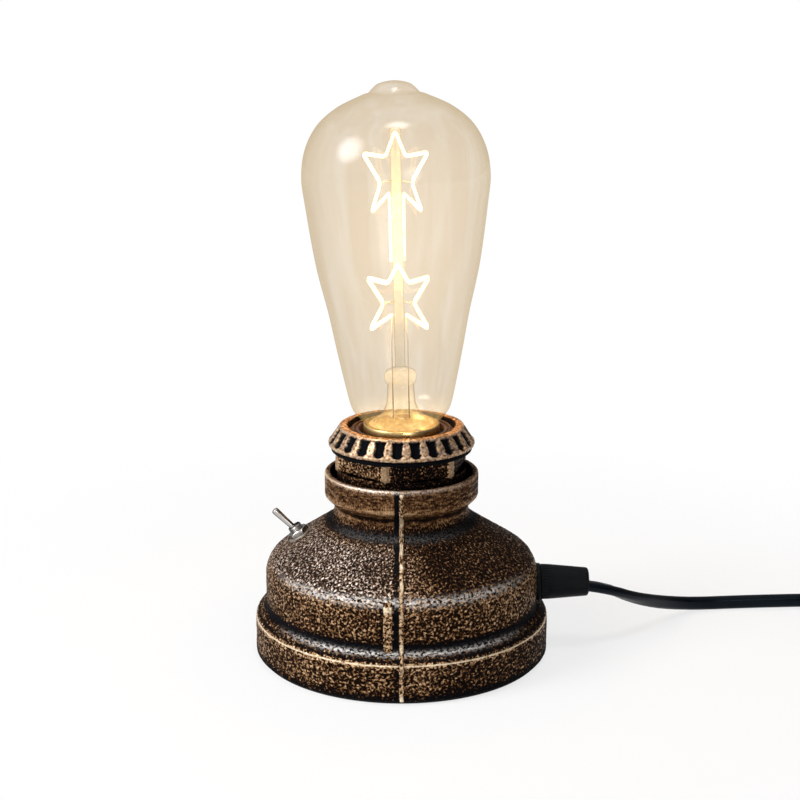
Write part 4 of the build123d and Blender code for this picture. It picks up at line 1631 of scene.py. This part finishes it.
    def dress(
        self, glass: BlownGlass, glow: Glow, brass: bpy.types.Material, wire: bpy.types.Material
    ) -> None:
        """Builds and finishes the bulb.

        Args:
            glass: the envelope's finish.
            glow: the filament's finish.
            brass: the cap's material.
            wire: the wires' material.
        """
        clear = glass.material("bulb_glass_clear")
        # The stem and rod glass carry a strong painted glow.
        inside = BlownGlass((0.96, 0.95, 0.92), (0.97, 0.96, 0.94), (0.62, 0.54, 0.43), 0.05, lit=0.78)
        inner = inside.material("stem_glass_clear")
        lit = glow.material("filament_glow")
        self.carry(self.glass(), Body.BULB, clear, Slot.GLASS, ("bulb_glass",))
        self.carry(self.stem(), Body.BULB, inner, Slot.GLASS, ("bulb_stem",))
        self.carry(self.rod(), Body.BULB, inner, Slot.GLASS, ("mount_rod",))
        self.carry(self.cap(), Body.BULB, brass, Slot.CAP, ("bulb_cap",))
        upper, lower = [], []
        for face in (-1, 1):
            star = self.loops(self.upper, face)
            star = star if face > 0 else star[::-1]
            upper.append([Vector((face * 2.2, face * self.foot, 135.7)) * MM] + star)
            lower.append(self.loops(self.lower, face))
        for name, runs in (("upper_star", upper), ("lower_star", lower)):
            star = self.wire(name, runs, self.star_wire)
            self.carry(star, Body.BULB, lit, Slot.FILAMENT, (f"{name}_filament",))
        leads = [
            [Vector((s * x, 0, z)) * MM for x, z in ((2.7, 81.9), (2.7, 108.0), (2.3, 117.1))]
            for s in (-1, 1)
        ]
        strung = self.wire("bulb_leads", leads, self.lead_wire)
        self.carry(strung, Body.BULB, wire, Slot.WIRE, ("lead_wires",))
        hooks = []
        for star in (self.upper, self.lower):
            x, z = star[2]
            for s in (-1, 1):
                for face in (-1, 1):
                    hooks.append(
                        [
                            Vector((s * 1.6, 0, z + 0.4)) * MM,
                            Vector((s * (x - 1.6), face * (self.apart - 0.9), z + 0.3)) * MM,
                            Vector((s * (x - 0.1), face * (self.apart - 0.3), z)) * MM,
                        ]
                    )
        held = self.wire("filament_hooks", hooks, self.hook_wire)
        self.carry(held, Body.BULB, wire, Slot.WIRE, ("support_hooks",))


@dataclass
class ToggleSwitch(Piece):
    """The toggle switch on the shoulder: washer, nut, threaded bushing and bat lever."""

    seat: Point3 = (-35.1, 0.0, 40.37)
    tilt: float = 33.0239
    lean: float = 13.0

    def local(self) -> Matrix:
        """The frame of the switch.

        Returns:
            A matrix whose Z is the switch's axis and whose X points down the shoulder.
        """
        s, c = math.sin(math.radians(self.tilt)), math.cos(math.radians(self.tilt))
        turn = Matrix(((-c, 0.0, -s), (0.0, -1.0, 0.0), (-s, 0.0, c))).to_4x4()
        return Matrix.Translation(Vector(self.seat) * MM) @ turn

    def washer(self) -> bpy.types.Object:
        """Stamps the dress washer.

        Returns:
            The washer.
        """
        mesh = Mesh("dress_washer")
        corners = ((2.45, -0.3), (4.2, -0.3), (4.2, 0.3), (2.45, 0.3))
        mesh.spin(rounded(corners, (0, 0.12, 0.22, 0), 0.1), 64)
        bmesh.ops.transform(mesh.bm, matrix=self.local(), verts=mesh.bm.verts)
        return mesh.finish(flat=50)

    def nut(self) -> bpy.types.Object:
        """Turns the chamfered hexagon nut.

        Returns:
            The nut.
        """
        mesh = Mesh("hex_nut")
        bm = mesh.bm
        rows = [(2.45, 0.32), (3.92, 0.32), (3.92, 1.55), (3.3, 2.1), (2.8, 2.1), (2.45, 1.9)]
        verts = mesh.spin(rounded(rows, (0, 0.1, 0, 0, 0, 0), 0.25), 144)
        for v in verts:
            turn = math.degrees(math.atan2(v.co.y, v.co.x)) % 60 - 30
            limit = 3.4 / math.cos(math.radians(turn)) * MM
            r = math.hypot(v.co.x, v.co.y)
            if r > limit:
                v.co.x *= limit / r
                v.co.y *= limit / r
        bmesh.ops.transform(bm, matrix=self.local(), verts=bm.verts)
        return mesh.finish(flat=28)

    def bushing(self) -> bpy.types.Object:
        """Cuts the threaded bushing.

        Returns:
            The bushing.
        """
        mesh = Mesh("threaded_bushing")
        rows = [(2.3, -3.9), (2.3, 0.0)]
        for k in range(13):
            rows += [(2.40, 0.15 + k * 0.28), (2.24, 0.29 + k * 0.28)]
        rows += [(2.3, 3.8), (2.15, 3.9), (2.05, 3.85), (1.8, 1.0), (1.7, -2.6)]
        mesh.spin(rows, 56)
        bmesh.ops.transform(mesh.bm, matrix=self.local(), verts=mesh.bm.verts)
        return mesh.finish(flat=35)

    def lever(self) -> bpy.types.Object:
        """Turns the bat lever.

        Returns:
            The lever.
        """
        mesh = Mesh("bat_lever")
        corners = (
            (0.0, -2.6),
            (0.6, -2.6),
            (0.6, -1.1),
            (1.3, -0.4),
            (1.3, 0.4),
            (1.0, 1.1),
            (1.1, 6.5),
            (1.26, 10.2),
            (1.2, 11.3),
            (0.0, 11.6),
        )
        mesh.spin(rounded(corners, (0, 0.1, 0.2, 0.4, 0.4, 0.3, 3.0, 0.7, 0.55, 0), 0.2), 40)
        pivot = self.local() @ Matrix.Translation((0, 0, 1.2 * MM))
        lean = Matrix.Rotation(math.radians(self.lean), 4, "Y")
        bmesh.ops.transform(mesh.bm, matrix=pivot @ lean, verts=mesh.bm.verts)
        return mesh.finish(flat=60)

    def dress(self, chrome: Metal, steel: Metal) -> None:
        """Builds and finishes the switch.

        Args:
            chrome: the plated finish.
            steel: the washer's and nut's finish.
        """
        plate = chrome.material("switch_plate")
        plain = steel.material("switch_steel")
        self.carry(self.washer(), Body.BASE, plain, Slot.CHROME, ("switch_washer",))
        self.carry(self.nut(), Body.BASE, plate, Slot.CHROME, ("switch_nut",))
        self.carry(self.bushing(), Body.BASE, plate, Slot.CHROME, ("switch_bushing",))
        self.carry(self.lever(), Body.LEVER, plate, Slot.CHROME, ("switch_lever",))


@dataclass
class CableGland(Piece):
    """The strain relief: a flange on the wall, a fluted foot and a tapering snout."""

    axis_z: float = 23.1
    flutes: int = 36

    def build(self) -> tuple[bpy.types.Object, bpy.types.Object]:
        """Turns the flange and the snout.

        Returns:
            The flange and the snout.
        """
        turn = Matrix.Translation((0, 0, self.axis_z * MM)) @ Matrix.Rotation(math.pi / 2, 4, "Y")
        flange = Mesh("gland_flange")
        flange.spin(
            rounded(
                ((2.9, 36.0), (5.0, 36.0), (5.0, 46.4), (6.45, 46.4), (6.45, 48.2), (2.9, 48.2)),
                (0, 0.4, 0, 0.2, 0.35, 0),
                0.5,
            ),
            72,
        )
        bmesh.ops.transform(flange.bm, matrix=turn, verts=flange.bm.verts)
        snout = Mesh("gland_snout")
        corners = (
            (2.9, 48.25),
            (6.15, 48.25),
            (6.0, 51.8),
            (4.87, 65.0),
            (3.95, 65.0),
            (2.85, 57.0),
        )
        verts = snout.spin(rounded(corners, (0, 0.3, 3.0, 0.9, 0.3, 0), 0.4), self.flutes * 6)
        for v in verts:
            x = v.co.z / MM
            r = math.hypot(v.co.x, v.co.y) / MM
            angle = math.atan2(v.co.y, v.co.x)
            if r > 4.3 and x < 64.2:
                groove = smooth(48.6, 49.0, x) * (1 - smooth(50.4, 52.4, x))
                cut = 0.26 * groove * (0.5 - 0.5 * math.cos(self.flutes * angle)) ** 2
                seam = 0.12 * math.exp(-((math.cos(angle) * r / 0.22) ** 2)) * smooth(51.0, 52.5, x)
                scale = (r - cut + seam) / r
                v.co.x *= scale
                v.co.y *= scale
        bmesh.ops.transform(snout.bm, matrix=turn, verts=snout.bm.verts)
        return flange.finish(flat=45), snout.finish(flat=50)

    def dress(self, finish: Moulded) -> list[bpy.types.Object]:
        """Builds and finishes the gland.

        Args:
            finish: its plastic.

        Returns:
            The flange and the snout.
        """
        skin = finish.material("gland_plastic")
        flange, snout = self.build()
        self.carry(flange, Body.BASE, skin, Slot.PLASTIC, ("gland_body",))
        self.carry(snout, Body.BASE, skin, Slot.PLASTIC, ("gland_cap",))
        return [flange, snout]


@dataclass
class CadPieces(Piece):
    """The CAD pieces that keep their own shape and get a procedural finish."""

    nodes: dict[str, bpy.types.Object]

    def dress(self, looks: dict[str, bpy.types.Material]) -> None:
        """Finishes each piece.

        Args:
            looks: the material of each node.
        """
        for name, material in looks.items():
            obj = self.nodes[name]
            obj.data.materials.clear()
            obj.data.materials.append(material)
            LOG.info("%s dressed", name)


@dataclass
class Studio:
    """Camera, soft light, white surround and pale floor."""

    focal: float = 1543.92
    away: float = 507.89
    height: float = 212.89
    pitch: float = 13.79
    sensor: float = 36.0
    floor_white: float = 0.74

    def camera(self) -> None:
        """Places the camera where the photograph was taken from."""
        data = bpy.data.cameras.new("camera")
        data.sensor_width = self.sensor
        data.lens = self.focal / 800 * self.sensor
        data.shift_x = -1.5 / 800
        obj = bpy.data.objects.new("camera", data)
        obj.location = (0, -self.away * MM, self.height * MM)
        obj.rotation_euler = (math.radians(90 - self.pitch), 0, 0)
        bpy.context.scene.collection.objects.link(obj)
        bpy.context.scene.camera = obj

    def panel(self, name: str, place: Point3, aim: Point3, size: Point2, power: float, tint: Point3) -> None:
        """Hangs one soft panel.

        Args:
            name: its name.
            place: where it hangs, in metres.
            aim: where it points, in metres.
            size: its width and height, in metres.
            power: its power, in watts.
            tint: its colour.
        """
        data = bpy.data.lights.new(name, "AREA")
        data.shape = "RECTANGLE"
        data.size, data.size_y = size
        data.energy = power
        data.color = tint
        data.use_nodes = True
        tree = data.node_tree
        tree.nodes.clear()
        geometry = tree.nodes.new("ShaderNodeNewGeometry")
        centred = tree.nodes.new("ShaderNodeVectorMath")
        centred.operation = "SUBTRACT"
        centred.inputs[1].default_value = (0.5, 0.5, 0.0)
        away = tree.nodes.new("ShaderNodeVectorMath")
        away.operation = "LENGTH"
        fade = tree.nodes.new("ShaderNodeMapRange")
        fade.interpolation_type = "SMOOTHSTEP"
        for key, number in (("From Min", 0.1), ("From Max", 0.52), ("To Min", 2.6), ("To Max", 0.0)):
            fade.inputs[key].default_value = number
        lit = tree.nodes.new("ShaderNodeEmission")
        out = tree.nodes.new("ShaderNodeOutputLight")
        tree.links.new(geometry.outputs["Parametric"], centred.inputs[0])
        tree.links.new(centred.outputs["Vector"], away.inputs[0])
        tree.links.new(away.outputs["Value"], fade.inputs["Value"])
        tree.links.new(fade.outputs[0], lit.inputs["Strength"])
        tree.links.new(lit.outputs[0], out.inputs["Surface"])
        obj = bpy.data.objects.new(name, data)
        obj.location = place
        obj.rotation_euler = (Vector(aim) - Vector(place)).to_track_quat("-Z", "Y").to_euler()
        bpy.context.scene.collection.objects.link(obj)

    def lights(self) -> None:
        """Hangs the key, the fill, the top and the bulb's own warm light."""
        middle = (0.0, 0.0, 0.06)
        white = (1.0, 0.98, 0.95)
        self.panel("key", (-0.82, -0.36, 0.72), middle, (0.80, 0.80), 13.0, (0.97, 0.98, 1.0))
        self.panel("fill", (0.35, -1.0, 0.30), middle, (0.6, 0.4), 1.8, white)
        self.panel("top", (0.02, -0.12, 1.1), middle, (0.45, 0.36), 3.2, white)
        glow = bpy.data.lights.new("bulb_glow", "POINT")
        glow.energy = 0.20
        glow.color = (1.0, 0.62, 0.22)
        glow.shadow_soft_size = 0.006
        obj = bpy.data.objects.new("bulb_glow", glow)
        obj.location = (0.0, 0.0, 0.104)
        obj.visible_camera = False
        obj.visible_glossy = False
        obj.visible_transmission = False
        bpy.context.scene.collection.objects.link(obj)

    def world(self) -> None:
        """Makes a white surround that the camera sees as plain white."""
        world = bpy.data.worlds.new("surround")
        world.use_nodes = True
        bpy.context.scene.world = world
        tree = world.node_tree
        tree.nodes.clear()
        out = tree.nodes.new("ShaderNodeOutputWorld")
        seen = tree.nodes.new("ShaderNodeBackground")
        lit = tree.nodes.new("ShaderNodeBackground")
        for shader in (seen, lit):
            shader.inputs["Color"].default_value = (1, 1, 1, 1)
        lit.inputs["Strength"].default_value = 0.22
        rays = tree.nodes.new("ShaderNodeLightPath")
        mix = tree.nodes.new("ShaderNodeMixShader")
        share = None
        for key in ("Is Camera Ray", "Is Glossy Ray", "Is Transmission Ray"):
            if share is None:
                share = rays.outputs[key]
                continue
            either = tree.nodes.new("ShaderNodeMath")
            either.operation = "MAXIMUM"
            tree.links.new(share, either.inputs[0])
            tree.links.new(rays.outputs[key], either.inputs[1])
            share = either.outputs[0]
        tree.links.new(share, mix.inputs[0])
        self.shaded(tree, rays.outputs["Is Glossy Ray"], seen.inputs["Strength"])
        tree.links.new(lit.outputs[0], mix.inputs[1])
        tree.links.new(seen.outputs[0], mix.inputs[2])
        tree.links.new(mix.outputs[0], out.inputs["Surface"])

    def shaded(self, tree: bpy.types.NodeTree, glossy: Socket, strength: Socket) -> None:
        """Shades the white surround towards the right in reflections, as dark cards beside a lamp do.

        Args:
            tree: the world's nodes.
            glossy: 1 for a ray that was reflected.
            strength: the surround's strength.
        """
        coord = tree.nodes.new("ShaderNodeTexCoord")
        side = tree.nodes.new("ShaderNodeVectorMath")
        side.operation = "DOT_PRODUCT"
        side.inputs[1].default_value = (-0.55, -0.10, 0.83)
        fade = tree.nodes.new("ShaderNodeMapRange")
        for key, number in (("From Min", -0.2), ("From Max", 0.9), ("To Min", 0.15), ("To Max", 1.0)):
            fade.inputs[key].default_value = number
        both = tree.nodes.new("ShaderNodeMix")
        both.inputs[2].default_value = 1.0
        tree.links.new(coord.outputs["Generated"], side.inputs[0])
        tree.links.new(side.outputs["Value"], fade.inputs["Value"])
        tree.links.new(glossy, both.inputs[0])
        tree.links.new(fade.outputs[0], both.inputs[3])
        tree.links.new(both.outputs[0], strength)

    def floor(self) -> None:
        """Lays the pale floor, which goes over into the white surround away from the lamp."""
        bm = bmesh.new()
        bmesh.ops.create_grid(bm, x_segments=2, y_segments=2, size=4.0)
        mesh = bpy.data.meshes.new("floor")
        bm.to_mesh(mesh)
        bm.free()
        obj = bpy.data.objects.new("floor", mesh)
        g = Graph("floor_pale")
        grain = g.noise(30.0, 2.0)
        g.set(Base_Color=g.mix(grain, (0.90, 0.90, 0.90), (0.93, 0.93, 0.93)), Roughness=0.8)
        white = g.node("ShaderNodeEmission")
        rays = g.node("ShaderNodeLightPath")
        seen = g.math("MAXIMUM", rays.outputs["Is Camera Ray"], rays.outputs["Is Glossy Ray"])
        seen = g.math("MAXIMUM", seen, rays.outputs["Is Transmission Ray"])
        away = g.node("ShaderNodeVectorMath", operation="LENGTH")
        g.link(g.place(), away.inputs[0])
        share = g.ramp(away.outputs["Value"], 0.07, 0.30, self.floor_white, 1.0)
        both = g.node("ShaderNodeMixShader")
        g.feed(both.inputs[0], g.math("MULTIPLY", share, seen))
        g.link(g.shader.outputs[0], both.inputs[1])
        g.link(white.outputs[0], both.inputs[2])
        g.link(both.outputs[0], g.out.inputs["Surface"])
        mesh.materials.append(g.material)
        bpy.context.scene.collection.objects.link(obj)
        obj.location = (0, 0, -0.0002)

    def build(self) -> None:
        """Sets everything up."""
        self.lights()
        self.world()
        self.floor()
        view = bpy.context.scene.view_settings
        view.view_transform = "Standard"


def main() -> None:
    """Builds the lamp."""
    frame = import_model()
    nodes = frame["nodes"]
    studio = Studio()
    studio.camera()
    plastic = Moulded((0.0046, 0.0054, 0.0064), 0.42, 0.5, 0.03, gloss=0.05)
    gland = CableGland().dress(plastic)
    on_cord = gland + [nodes[n] for n in ("plug_body", "plug_blades", "coil_tie")]
    # Bluish specular tint on the cord: a painted reflection.
    sheath = Moulded((0.0012, 0.0016, 0.0022), 0.30, 0.4, 0.012, gloss=0.16, cast=(0.5, 0.72, 1.0))
    MainsCord().dress(sheath, on_cord)
    CastBody().dress(CastBronze())
    ClampRing().dress(CastBronze(worn=(0.84, 0.60, 0.34), cover=0.0, grain=1.3, relief=0.25))
    HexBushing().dress(CastBronze(worn=(0.33, 0.22, 0.13), cover=0.06, grain=1.0, relief=0.3))
    brass = Metal((0.80, 0.58, 0.26), (0.45, 0.28, 0.12), 0.26).material("brass")
    Lampholder().dress(Moulded((0.030, 0.017, 0.010), 0.35), brass)
    wire = Metal((0.95, 0.89, 0.78), (0.80, 0.72, 0.58), 0.40).material("wire")
    Bulb().dress(BlownGlass(painted_glow=0.045, heart=(0.0, 0.0, 142.0), reach=60.0, lit=0.12), Glow(), brass, wire)
    steel = Metal((0.42, 0.38, 0.33), (0.16, 0.13, 0.10), 0.30)
    # Chrome darkened edge-on: a painted dark reflection.
    ToggleSwitch().dress(Metal((0.50, 0.48, 0.46), (0.09, 0.075, 0.065), 0.16, rim=0.9), steel)
    zinc = steel.material("zinc_steel")
    black = plastic.material("black_plastic")
    CadPieces(nodes).dress(
        {
            "bottom_cover": zinc,
            "cover_screws": zinc,
            "foot_pad": Moulded((0.012, 0.012, 0.012), 0.85, 0.4, 0.08).material("foam"),
            "centre_contact": brass,
            "terminal_screws": brass,
            "nipple": brass,
            "nipple_locknut": zinc,
            "cap_insulator": Moulded((0.010, 0.010, 0.014), 0.12, 2.0, 0.01).material("vitrite"),
            "bulb_contact": Metal((0.55, 0.55, 0.56), (0.35, 0.35, 0.36), 0.4).material("solder"),
            "switch_body": black,
            "switch_terminals": brass,
            "gland_locknut": black,
            "plug_body": plastic.material("plug_plastic"),
            "plug_blades": brass,
            "coil_tie": Moulded((0.012, 0.012, 0.013), 0.9, 0.5, 0.1, 0.4).material("strap"),
            "live_lead": Moulded((0.015, 0.015, 0.016), 0.4).material("lead_black"),
            "switched_lead": Moulded((0.16, 0.06, 0.02), 0.4).material("lead_brown"),
            "neutral_lead": Moulded((0.70, 0.70, 0.67), 0.4).material("lead_white"),
        }
    )
    studio.build()


if __name__ == "__main__":
    main()
